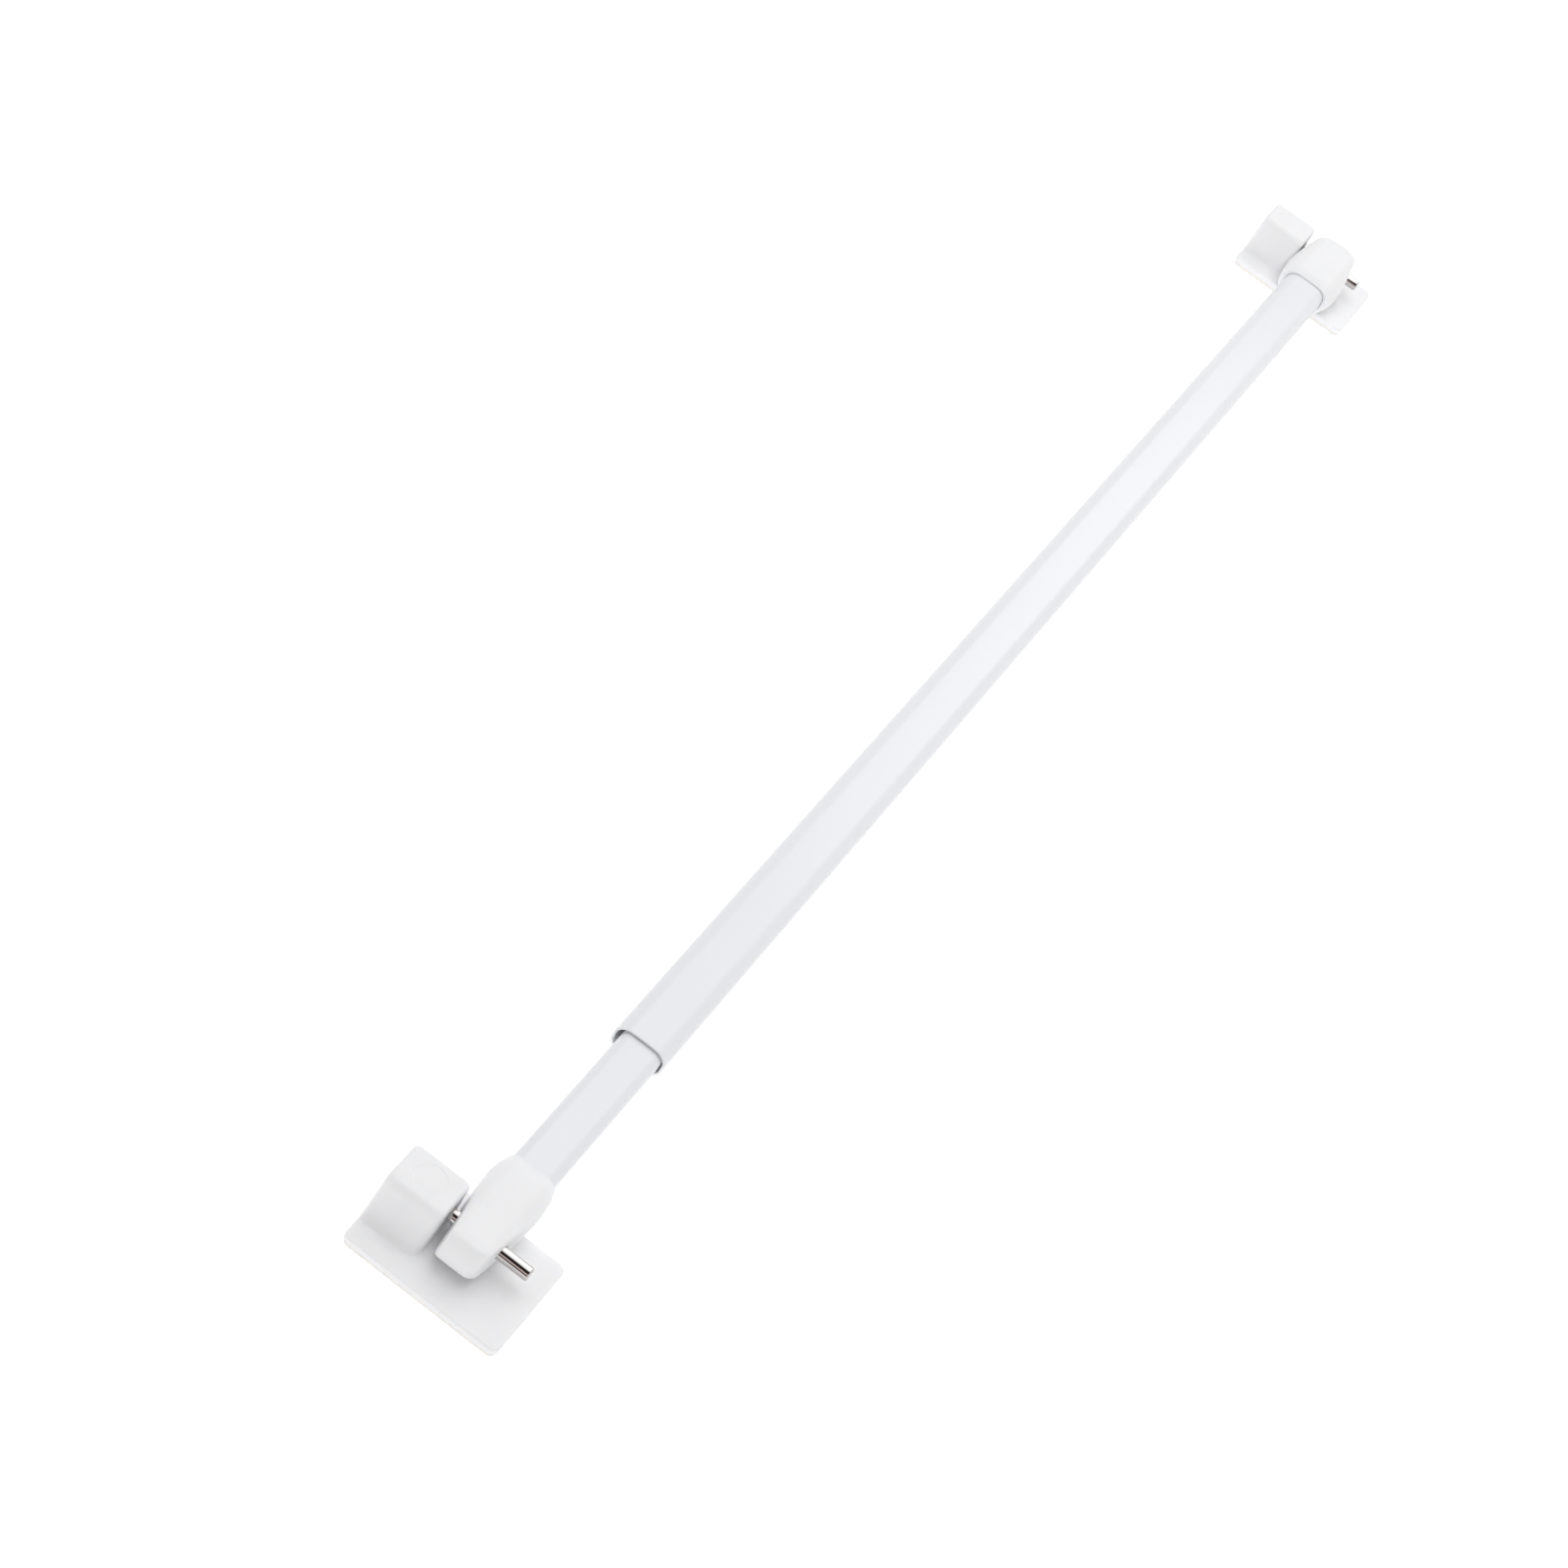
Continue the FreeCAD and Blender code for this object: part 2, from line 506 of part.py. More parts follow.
def friction_leaf():
    """A bowed strip of spring steel under the plug's beam, crown on the tube's floor."""
    name = "friction_leaf"
    body = new_body(name, f"({MOUTH_X} + Sizes.inner_inside + Sizes.plug_head)", INNER_Y, ROD_Z)
    guide = "2 * (Sizes.tube_wall + Sizes.plug_guide_gap)"
    seat = f"((Sizes.outer_height - {guide}) / 2 - Sizes.plug_beam)"
    crown = "(Sizes.tube_wall - Sizes.outer_height / 2 + Sizes.leaf_wall_gap)"
    start, end = "Sizes.leaf_end_gap", "Sizes.leaf_span - Sizes.leaf_end_gap"
    middle = "Sizes.leaf_span / 2"
    strip = new_sketch(body, f"{name}_outline", "XZ_Plane")
    draw_outline(
        strip,
        [(start, seat), (start, f"{seat} - Sizes.leaf_thickness"),
         (end, f"{seat} - Sizes.leaf_thickness"), (end, seat)],
        arcs={1: (middle, crown), 3: (middle, f"{crown} + Sizes.leaf_thickness")},
    )
    pad(body, strip, f"{name}_strip", "Sizes.leaf_width", midplane=True)


def check_and_write():
    """Refuse any failed feature, then write each sub-part's solid to its own file."""
    doc.recompute()
    for item in doc.Objects:
        if {"Invalid", "Error"} & set(item.State):
            raise RuntimeError(f"{item.Name} failed: {item.State}")
    bodies = [item for item in doc.Objects if item.TypeId == "PartDesign::Body"]
    for body in bodies:
        if body.Shape.isNull() or not body.Shape.isValid() or len(body.Shape.Solids) != 1:
            raise RuntimeError(f"{body.Label} is not one valid solid")
    os.makedirs("parts", exist_ok=True)
    for body in bodies:
        body.Shape.exportStep(f"parts/{body.Label}.step")


sheet = add_sheet()
tube("outer_tube", MOUTH_X, ROD_Y, "Sizes.outer_showing + Sizes.large_eye_socket",
     "Sizes.outer_width", "Sizes.outer_height", "Sizes.outer_corner")
tube("inner_tube", f"({MOUTH_X} - Sizes.inner_showing - Sizes.small_eye_socket)", INNER_Y, INNER_LENGTH,
     INNER_WIDTH, INNER_HEIGHT, INNER_CORNER)
eye("inner_end_eye", "small", NEAR_PIN_X, INNER_Y, 0, INNER_WIDTH, INNER_HEIGHT, INNER_CORNER)
eye("outer_end_eye", "large", FAR_PIN_X, ROD_Y, TURNED_END_FOR_END,
    "Sizes.outer_width", "Sizes.outer_height", "Sizes.outer_corner")
guide_plug()
friction_leaf()
for end, pin_x, face in (("near", NEAR_PIN_X, NEAR_FACE), ("far", FAR_PIN_X, FAR_FACE)):
    face_y = f"({ROD_Y} + {face})"
    bracket(f"{end}_bracket", pin_x, face_y)
    pin(f"{end}_pin", pin_x, face_y)
    sheet_under_plate(f"{end}_foam_pad", pin_x, face_y, "Sizes.liner_thickness", "Sizes.foam_thickness")
    sheet_under_plate(f"{end}_liner", pin_x, face_y, "0", "Sizes.liner_thickness")
check_and_write()
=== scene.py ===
"""A white telescopic curtain rod on its two stick-on pin brackets, dressed for the studio."""

import logging
import math
from dataclasses import dataclass
from enum import Enum
from typing import ClassVar, Mapping, Sequence

import bmesh
import bpy
import numpy as np
from mathutils import Matrix, Vector


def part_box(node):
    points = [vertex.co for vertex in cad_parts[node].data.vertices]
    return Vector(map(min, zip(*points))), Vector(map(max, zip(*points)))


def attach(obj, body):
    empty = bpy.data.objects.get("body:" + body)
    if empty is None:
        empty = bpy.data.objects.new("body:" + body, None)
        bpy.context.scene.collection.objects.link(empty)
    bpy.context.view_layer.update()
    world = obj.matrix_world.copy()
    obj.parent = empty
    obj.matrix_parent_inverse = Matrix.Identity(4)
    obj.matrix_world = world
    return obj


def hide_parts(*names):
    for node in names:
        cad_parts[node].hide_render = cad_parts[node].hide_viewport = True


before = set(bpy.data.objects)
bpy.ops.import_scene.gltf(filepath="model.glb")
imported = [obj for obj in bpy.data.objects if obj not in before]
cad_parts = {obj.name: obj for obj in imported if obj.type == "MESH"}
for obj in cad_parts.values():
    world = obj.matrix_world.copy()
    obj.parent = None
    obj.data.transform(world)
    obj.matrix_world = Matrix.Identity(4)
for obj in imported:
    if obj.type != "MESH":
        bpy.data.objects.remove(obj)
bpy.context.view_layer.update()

log = logging.getLogger("curtain_rod")

MM = 0.001
TINY = 1e-9
MERGE_DISTANCE = 2e-7
SHARP_ANGLE = math.radians(38)
WHITE = "#FFFFFF"
SCATTER_BY_CHANNEL = (1.0, 0.9, 0.8)
SLAB_EDGE_STEPS = 6
SLAB_FACE_SHARES = (0.0, 0.3, 0.6, 0.85)

Array = np.ndarray
Thing = bpy.types.Object
Socket = bpy.types.NodeSocket
Tree = bpy.types.NodeTree
Pair = tuple[float, float]
Triple = tuple[float, float, float]
Shares = tuple[float, ...]


def linear(hex_code: str) -> tuple[float, float, float, float]:
    """Turn an sRGB hex code into the linear colour that shaders take.

    Args:
        hex_code: six hex digits, with or without a leading hash.

    Returns:
        Linear red, green and blue, and an alpha of 1.
    """
    digits = hex_code.lstrip("#")
    coded = np.array([int(digits[place:place + 2], 16) for place in (0, 2, 4)]) / 255
    light = np.where(coded <= 0.04045, coded / 12.92, ((coded + 0.055) / 1.055) ** 2.4)
    return (float(light[0]), float(light[1]), float(light[2]), 1.0)


def per_metre(size_mm: float) -> float:
    """Give the texture scale at which one cell of a pattern is so many millimetres."""
    return 1.0 / (size_mm * MM)


def add_node(
    tree: Tree,
    kind: str,
    settings: Mapping[str, object] | None = None,
    values: Mapping[str | int, object] | None = None,
    links: Mapping[str | int, Socket] | None = None,
) -> bpy.types.Node:
    """Add one shader node with its options, its socket values and its links.

    Args:
        tree: the material's node tree.
        kind: the node's Blender type name, less its first word.
        settings: options of the node itself.
        values: numbers or colours for its input sockets.
        links: output sockets that feed its input sockets.

    Returns:
        The new node.
    """
    node = tree.nodes.new(f"ShaderNode{kind}")
    for name, setting in (settings or {}).items():
        setattr(node, name, setting)
    for socket, number in (values or {}).items():
        node.inputs[socket].default_value = number
    for socket, source in (links or {}).items():
        tree.links.new(source, node.inputs[socket])
    return node


def new_material(name: str) -> tuple[bpy.types.Material, Tree]:
    """Make a material that uses nodes, and give it with its node tree."""
    made = bpy.data.materials.new(name)
    made.use_nodes = True
    return made, made.node_tree


def new_object(name: str, data: bpy.types.ID) -> Thing:
    """Make an object from a mesh, a lamp or a camera, and put it into the scene."""
    made = bpy.data.objects.new(name, data)
    bpy.context.scene.collection.objects.link(made)
    return made


@dataclass(frozen=True)
class Grain:
    """A noise pattern of real size: a blotch's width, its octaves and its depth as relief.

    The stretch says how far the pattern is squeezed along x, y and z.
    """

    size_mm: float
    detail: float = 2.0
    stretch: Triple = (1, 1, 1)
    depth_mm: float = 0.0


class Shading:
    """One material's shader while its finish draws a pattern on it."""

    def __init__(self, finish: "Finish", tree: Tree) -> None:
        """Take the finish's middle values and the object coordinates for a start."""
        self.finish = finish
        self.tree = tree
        self.shader = tree.nodes["Principled BSDF"]
        self.place = add_node(tree, "TexCoord").outputs["Object"]
        self.normal: Socket | None = None

    def noise(self, grain: Grain) -> Socket:
        """Add a noise pattern and give its value, from 0 to 1."""
        mapped = add_node(
            self.tree, "Mapping", None, {"Scale": grain.stretch}, {"Vector": self.place})
        pattern = add_node(
            self.tree, "TexNoise", None,
            {"Scale": per_metre(grain.size_mm), "Detail": grain.detail},
            {"Vector": mapped.outputs["Vector"]},
        )
        return pattern.outputs["Fac"]

    def tint(self, share: Socket) -> None:
        """Let the colour drift towards the finish's second one where a pattern is high."""
        colours = {"A": linear(self.finish.colour), "B": linear(self.finish.drift_colour)}
        mixed = add_node(self.tree, "Mix", {"data_type": "RGBA"}, colours, {"Factor": share})
        self.tree.links.new(mixed.outputs["Result"], self.shader.inputs["Base Color"])

    def vary_roughness(self, share: Socket) -> None:
        """Let the roughness swing about its middle value by a pattern."""
        middle, spread = self.finish.roughness, self.finish.roughness_spread
        ranged = add_node(
            self.tree, "MapRange", None,
            {"To Min": middle - spread, "To Max": middle + spread}, {"Value": share},
        )
        self.tree.links.new(ranged.outputs["Result"], self.shader.inputs["Roughness"])

    def bump(self, height: Socket, depth_mm: float) -> None:
        """Add a bump layer over those that are there already."""
        bump = add_node(
            self.tree, "Bump", None, {"Distance": depth_mm * MM}, {"Height": height})
        if self.normal is not None:
            self.tree.links.new(self.normal, bump.inputs["Normal"])
        self.normal = bump.outputs["Normal"]
        self.tree.links.new(self.normal, self.shader.inputs["Normal"])

    def engrave(self, *grains: Grain) -> None:
        """Add noise patterns as bump layers, the first one undermost."""
        for grain in grains:
            self.bump(self.noise(grain), grain.depth_mm)


@dataclass(frozen=True)
class Finish:
    """A real surface: its name, its usual shader values and a pattern of its own."""

    name: str
    colour: str
    drift_colour: str
    roughness: float
    roughness_spread: float = 0.0
    metallic: float = 0.0
    specular: float = 0.5
    coat: float = 0.0
    coat_roughness: float = 0.05
    subsurface: float = 0.0
    subsurface_mm: float = 0.8

    def material(self) -> bpy.types.Material:
        """Build the material once and hand out the same one afterwards."""
        made = bpy.data.materials.get(self.name)
        if made is not None:
            return made
        made, tree = new_material(self.name)
        shading = Shading(self, tree)
        for socket, value in {
            "Base Color": linear(self.colour),
            "Roughness": self.roughness,
            "Metallic": self.metallic,
            "Specular IOR Level": self.specular,
            "Coat Weight": self.coat,
            "Coat Roughness": self.coat_roughness,
            "Subsurface Weight": self.subsurface,
            "Subsurface Radius": SCATTER_BY_CHANNEL,
            "Subsurface Scale": self.subsurface_mm * MM,
        }.items():
            shading.shader.inputs[socket].default_value = value
        self.pattern(shading)
        return made

    def pattern(self, shading: Shading) -> None:
        """Add the finish's own detail; each finish gives its own."""
        raise NotImplementedError


@dataclass(frozen=True)
class StovedLacquer(Finish):
    """White stoving lacquer on roll-formed steel strip, cured glossy with slight orange peel.

    The eye sees a cool, even white with soft broad highlights along the tube, drawn a
    little unevenly because the wet lacquer levelled in long waves.
    """

    name: str = "white_stoving_lacquer"
    colour: str = "#ECEDF0"
    drift_colour: str = "#E9EAED"
    roughness: float = 0.34
    roughness_spread: float = 0.03
    coat: float = 0.25
    coat_roughness: float = 0.18

    peel: ClassVar[Grain] = Grain(0.9, 1.0, depth_mm=0.004)
    roll_lines: ClassVar[Grain] = Grain(0.35, 2.0, (0.01, 1, 1), 0.002)
    drift: ClassVar[Grain] = Grain(24, 1.0, (0.4, 1, 1))

    def pattern(self, shading: Shading) -> None:
        """Orange peel, faint forming lines along the tube and a slow drift of tone."""
        drift = shading.noise(self.drift)
        shading.tint(drift)
        shading.vary_roughness(drift)
        shading.engrave(self.peel, self.roll_lines)


@dataclass(frozen=True)
class MouldedPlastic(Finish):
    """Injection-moulded white ABS from a finely eroded tool, half matt.

    The eye sees a softer white than the lacquer's, with a fine even grain, faint flow
    clouds and a little light passing through thin edges.
    """

    name: str = "moulded_white_abs"
    colour: str = "#F4F4F6"
    drift_colour: str = "#F0F0F1"
    roughness: float = 0.46
    roughness_spread: float = 0.05
    specular: float = 0.45
    subsurface: float = 0.35
    subsurface_mm: float = 1.0

    sink_waves: ClassVar[Grain] = Grain(5.0, 0.0, depth_mm=0.035)
    # The real grain of about 0.03 mm is too fine to show, so it is drawn four times coarser.
    tool_grain: ClassVar[Grain] = Grain(0.12, 1.0, depth_mm=0.004)
    flow_clouds: ClassVar[Grain] = Grain(7)

    def pattern(self, shading: Shading) -> None:
        """Eroded grain, shallow sink waves and flow clouds."""
        clouds = shading.noise(self.flow_clouds)
        shading.tint(clouds)
        shading.vary_roughness(clouds)
        shading.engrave(self.sink_waves, self.tool_grain)


@dataclass(frozen=True)
class BrightDrawnSteel(Finish):
    """Mild steel wire drawn through a die, cut, chamfered and polished bright.

    The eye sees a clear mirror of the room with faint lines along the pin.
    """

    name: str = "bright_drawn_steel"
    colour: str = "#CFCDCC"
    drift_colour: str = "#C3BFBC"
    roughness: float = 0.08
    roughness_spread: float = 0.03
    metallic: float = 1.0

    # Real die lines lie about 0.02 mm apart. They are drawn coarser, so that they show.
    die_lines: ClassVar[Grain] = Grain(0.12, 2.0, (1, 0.02, 1), 0.0012)
    smears: ClassVar[Grain] = Grain(2.5)

    def pattern(self, shading: Shading) -> None:
        """Die lines along the pin and slight handling smears."""
        smears = shading.noise(self.smears)
        shading.tint(smears)
        shading.vary_roughness(smears)
        shading.engrave(self.die_lines)


@dataclass(frozen=True)
class ClosedCellFoam(Finish):
    """Closed-cell acrylic foam tape, die-cut, off-white.

    The eye sees a matt, faintly beige edge pitted by the cells that the knife opened.
    """

    name: str = "closed_cell_foam"
    colour: str = "#F7F5F2"
    drift_colour: str = "#F2EEE9"
    roughness: float = 0.85
    specular: float = 0.25
    subsurface: float = 0.2
    subsurface_mm: float = 0.4

    cell_mm: float = 0.22
    cell_depth_mm: float = 0.06
    cell_smoothness: float = 0.3

    def pattern(self, shading: Shading) -> None:
        """Open cells as pits, with painted shade darkening their bottoms."""
        cells = add_node(
            shading.tree, "TexVoronoi", {"feature": "SMOOTH_F1"},
            {"Scale": per_metre(self.cell_mm), "Smoothness": self.cell_smoothness},
            {"Vector": shading.place},
        ).outputs["Distance"]
        # Painted shade: the colour darkens where the same pattern sinks the pits.
        shading.tint(cells)
        shading.bump(cells, -self.cell_depth_mm)


@dataclass(frozen=True)
class SiliconisedPaper(Finish):
    """Glassine release paper with a silicone coat, slit with the tape.

    The eye sees thin off-white paper with short fibres and a slight waxy shine.
    """

    name: str = "siliconised_release_paper"
    colour: str = "#F6F3EF"
    drift_colour: str = "#F1ECE7"
    roughness: float = 0.5
    roughness_spread: float = 0.08
    specular: float = 0.35

    # Real fibres are about 0.02 mm thick. They are drawn coarser, so that they show.
    fibres: ClassVar[Grain] = Grain(0.08, 3.0, (0.3, 1, 1), 0.01)
    formation: ClassVar[Grain] = Grain(1.8, 3.0)

    def pattern(self, shading: Shading) -> None:
        """Paper fibres lying mostly one way in the sheet and a cloudy formation."""
        clouds = shading.noise(self.formation)
        shading.tint(clouds)
        shading.vary_roughness(clouds)
        shading.engrave(self.fibres)


@dataclass(frozen=True)
class Acetal(Finish):
    """Natural acetal, injection moulded, a slippery bearing plastic.

    The eye sees milky white with a waxy depth and a fine grain from the tool.
    """

    name: str = "natural_acetal"
    colour: str = "#E4E3DD"
    drift_colour: str = "#D9D8CF"
    roughness: float = 0.38
    roughness_spread: float = 0.05
    subsurface: float = 0.3
    subsurface_mm: float = 1.2

    milkiness: ClassVar[Grain] = Grain(4)
    # Drawn coarser than the real grain, as on the other mouldings.
    tool_grain: ClassVar[Grain] = Grain(0.15, 1.0, depth_mm=0.004)

    def pattern(self, shading: Shading) -> None:
        """Milky clouds and a fine tool grain."""
        clouds = shading.noise(self.milkiness)
        shading.tint(clouds)
        shading.vary_roughness(clouds)
        shading.engrave(self.tool_grain)


@dataclass(frozen=True)
class RolledSpringStrip(Finish):
    """Hardened spring strip, cold rolled and tinted straw by its tempering.

    The eye sees a grey metal with rolling lines along it and a straw tint in patches.
    """

    name: str = "rolled_spring_strip"
    colour: str = "#A9A49A"
    drift_colour: str = "#B09B78"
    roughness: float = 0.3
    roughness_spread: float = 0.08
    metallic: float = 1.0

    # Real rolling lines are a few hundredths wide. They are drawn coarser, so that they show.
    rolling_lines: ClassVar[Grain] = Grain(0.1, 2.0, (0.02, 1, 1), 0.003)
    temper: ClassVar[Grain] = Grain(5, 1.0)

    def pattern(self, shading: Shading) -> None:
        """Rolling lines along the strip and the temper tint."""
        shading.tint(shading.noise(self.temper))
        shading.vary_roughness(shading.noise(self.rolling_lines))
        shading.engrave(self.rolling_lines)


LACQUER = StovedLacquer()
PLASTIC = MouldedPlastic()
STEEL = BrightDrawnSteel()
FOAM = ClosedCellFoam()
PAPER = SiliconisedPaper()
ACETAL = Acetal()
SPRING = RolledSpringStrip()


def outline_reach(
    angle: Array, half_x: Array | float, half_y: Array | float, corner: Array | float
) -> Array:
    """Distance from the middle to a rounded rectangle's outline, for each direction.

    A ray first meets the nearer of the side line and the top line. Where that meeting
    point lies past both corner centres, the ray meets the corner's circle instead, which
    is the larger root of the quadratic for a ray and a circle.

    Args:
        angle: directions in radians.
        half_x: half the width.
        half_y: half the height.
        corner: the corners' radius.

    Returns:
        The distances, as an array that the arguments broadcast to.
    """
    along_x, along_y = np.abs(np.cos(angle)), np.abs(np.sin(angle))
    straight = np.minimum(half_x / np.maximum(along_x, TINY), half_y / np.maximum(along_y, TINY))
    centre_x, centre_y = half_x - corner, half_y - corner
    towards = along_x * centre_x + along_y * centre_y
    beyond = centre_x**2 + centre_y**2 - corner**2
    arc = towards + np.sqrt(np.maximum(towards**2 - beyond, 0))
    in_corner = (straight * along_x > centre_x) & (straight * along_y > centre_y)
    return np.where(in_corner, arc, straight)


def directions(around: int, half_x: Array | float, half_y: Array | float) -> Array:
    """Spread directions evenly round an outline, however flat it is.

    Even steps round a circle are squeezed by the outline's two half sizes, so that a flat
    outline gets as many points on its long sides as on its ends.
    """
    step = np.linspace(0, 2 * math.pi, around, endpoint=False)
    return np.arctan2(half_y * np.sin(step), half_x * np.cos(step))


def soft_lesser(first: Array, second: Array, sharpness: Array | float) -> Array:
    """Take the lesser of two distances, rounded where they are nearly the same."""
    low, high = np.minimum(first, second), np.maximum(first, second)
    return low * (1 + (low / np.maximum(high, TINY)) ** sharpness) ** (-1 / sharpness)


def soft_ramp(place: Array, softness: float) -> Array:
    """Zero before a place and rising one for one after it, with a rounded turn."""
    return (place + np.sqrt(place**2 + softness**2)) / 2


def smooth_step(place: Array) -> Array:
    """Rise from 0 to 1 as the place goes from 0 to 1, level at both ends."""
    held = np.clip(place, 0, 1)
    return held * held * (3 - 2 * held)


def quarter(count: int) -> Array:
    """Angles of a quarter turn, both ends included."""
    return np.linspace(0, math.pi / 2, count)


def points(x: Array, y: Array, z: Array) -> Array:
    """Pair up x, y and z of rings of points; each may be one value for a whole ring."""
    return np.stack(np.broadcast_arrays(x, y, z), axis=-1)


def skin(name: str, rings: Array, closed: bool = True) -> Thing:
    """Make a mesh of quads between successive rings of points, in millimetres.

    Point j of ring i joins point j of ring i + 1. A ring that has shrunk to a point or a
    line closes the surface there, because its doubles are merged.

    Args:
        name: the piece's name.
        rings: an array of rings by points by x, y and z.
        closed: whether each ring's last point joins its first.

    Returns:
        The object at the origin, its place in its mesh, its faces outwards.
    """
    count, around, _ = rings.shape
    index = np.arange(count * around).reshape(count, around)
    after = np.roll(index, -1, axis=1)
    quads = np.stack([index[:-1], after[:-1], after[1:], index[1:]], axis=-1)
    if not closed:
        quads = quads[:, :-1]
    quads = quads.reshape(-1, 4)
    mesh = bpy.data.meshes.new(name)
    mesh.vertices.add(count * around)
    mesh.vertices.foreach_set("co", (rings * MM).astype(np.float32).ravel())
    mesh.loops.add(quads.size)
    mesh.loops.foreach_set("vertex_index", quads.astype(np.int32).ravel())
    mesh.polygons.add(len(quads))
    mesh.polygons.foreach_set("loop_start", np.arange(0, quads.size, 4, dtype=np.int32))
    mesh.update(calc_edges=True)
    piece = new_object(name, mesh)
    clean(mesh)
    return piece


def clean(mesh: bpy.types.Mesh) -> None:
    """Merge doubles, drop faces with no area, face outwards and shade by angle."""
    work = bmesh.new()
    work.from_mesh(mesh)
    bmesh.ops.remove_doubles(work, verts=work.verts, dist=MERGE_DISTANCE)
    bmesh.ops.dissolve_degenerate(work, edges=work.edges, dist=MERGE_DISTANCE)
    bmesh.ops.recalc_face_normals(work, faces=work.faces)
    work.to_mesh(mesh)
    work.free()
    mesh.polygons.foreach_set("use_smooth", np.ones(len(mesh.polygons), dtype=bool))
    mesh.set_sharp_from_angle(angle=SHARP_ANGLE)
    mesh.update()


class Cut(Enum):
    """How one solid changes another."""

    TAKE_AWAY = "DIFFERENCE"
    ADD = "UNION"


def combine(piece: Thing, tool: Thing, cut: Cut) -> None:
    """Add a closed surface to a piece or take it away, and drop the tool.

    Args:
        piece: the object that is changed.
        tool: the closed surface; it is removed afterwards.
        cut: whether the tool is added or taken away.
    """
    change = piece.modifiers.new(cut.name.lower(), "BOOLEAN")
    change.operation = cut.value
    change.object = tool
    change.solver = "EXACT"
    graph = bpy.context.evaluated_depsgraph_get()
    mesh = bpy.data.meshes.new_from_object(piece.evaluated_get(graph))
    piece.modifiers.remove(change)
    old = piece.data
    piece.data = mesh
    bpy.data.meshes.remove(old)
    mesh.name = piece.name
    spent = tool.data
    bpy.data.objects.remove(tool)
    bpy.data.meshes.remove(spent)
    clean(mesh)


def lathe_along_y(name: str, profile: Sequence[Pair], centre: Pair, around: int = 72) -> Thing:
    """Turn a profile about an axis parallel to y.

    Args:
        name: the piece's name.
        profile: pairs of place along y and radius, in millimetres, from one end to the other.
        centre: x and z of the axis.
        around: points round each ring.

    Returns:
        The closed surface of revolution.
    """
    place, radius = np.array(profile).T[:, :, None]
    turn = np.linspace(0, 2 * math.pi, around, endpoint=False)[None, :]
    x, z = centre[0] + radius * np.cos(turn), centre[1] + radius * np.sin(turn)
    return skin(name, points(x, place, z))


def dress(piece: Thing, finish: Finish, body: str, node: str) -> None:
    """Give a piece its finish, the body that it rides on and the node that it stands for."""
    piece.data.materials.clear()
    piece.data.materials.append(finish.material())
    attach(piece, body)
    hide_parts(node)
    log.info("%s: %d faces, %s, on %s", piece.name, len(piece.data.polygons), finish.name, body)


def node_box(node: str) -> tuple[Array, Array]:
    """Lowest and highest corner of a CAD node, in millimetres."""
    low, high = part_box(node)
    return np.array(low) / MM, np.array(high) / MM


def node_middle(node: str) -> tuple[Array, Array]:
    """Middle and half sizes of a CAD node's box, in millimetres."""
    low, high = node_box(node)
    return (low + high) / 2, (high - low) / 2


@dataclass
class FlatOvalTube:
    """A roll-formed tube of steel strip: flat-oval, with an open seam underneath."""

    node: str
    body: str
    corner: float
    crown: float
    wall: float = 0.5
    seam: float = 0.4
    lip_turn: float = 0.12
    lip_reach: float = 0.5
    cut_round: float = 0.1
    around: int = 220
    cut_steps: int = 5

    def section(self, half_width: float, half_height: float) -> tuple[Array, Array]:
        """Points of the outer and the inner face, from one lip of the seam to the other.

        The outline is a rounded rectangle whose top and bottom fall away a little from
        the middle as the square of the distance, and the lips turn in beside the seam.

        Returns:
            Two arrays of points by y and z.
        """
        step = np.linspace(-math.pi / 2, 3 * math.pi / 2, self.around)
        angle = np.arctan2(half_height * np.sin(step), half_width * np.cos(step))

        def face(inset: float) -> Array:
            """Points of the face that lies so far below the strip's outside."""
            sizes = (half_width - inset, half_height - inset, self.corner - inset)
            reach = outline_reach(angle, *sizes)
            y, z = reach * np.cos(angle), reach * np.sin(angle)
            z = z * (1 - self.crown / half_height * (y / half_width) ** 2)
            low = z < 0
            lip = np.where(step < math.pi / 2, self.seam / 2, -self.seam / 2)
            y = np.where(low & (np.abs(y) < self.seam / 2), lip, y)
            turned = smooth_step(1 - (np.abs(y) - self.seam / 2) / self.lip_reach) * low
            return np.stack([y, z + self.lip_turn * turned], axis=-1)

        return face(0.0), face(self.wall)

    def build(self) -> None:
        """Carry the section along x, and round the cut edges at both ends."""
        centre, half = node_middle(self.node)
        outer, inner = self.section(half[1], half[2])
        middle = (outer + inner) / 2
        bend = quarter(self.cut_steps)
        share = self.cut_round / (self.wall / 2)
        inward = np.concatenate([[0.0], 1 - share * (1 - np.sin(bend)), [1.0]])
        start = np.concatenate([[0.0], self.cut_round * (1 - np.cos(bend)), [self.cut_round]])
        fullness = np.concatenate([inward, inward[::-1]])
        low, high = node_box(self.node)
        place = np.concatenate([low[0] + start, high[0] - start[::-1]])
        full = fullness[:, None, None]
        loops = np.concatenate(
            [middle + (outer - middle) * full, (middle + (inner - middle) * full)[:, ::-1]], axis=1)
        loops = loops + centre[1:]
        piece = skin(f"{self.node}_strip", points(place[:, None], loops[..., 0], loops[..., 1]))
        dress(piece, LACQUER, self.body, self.node)


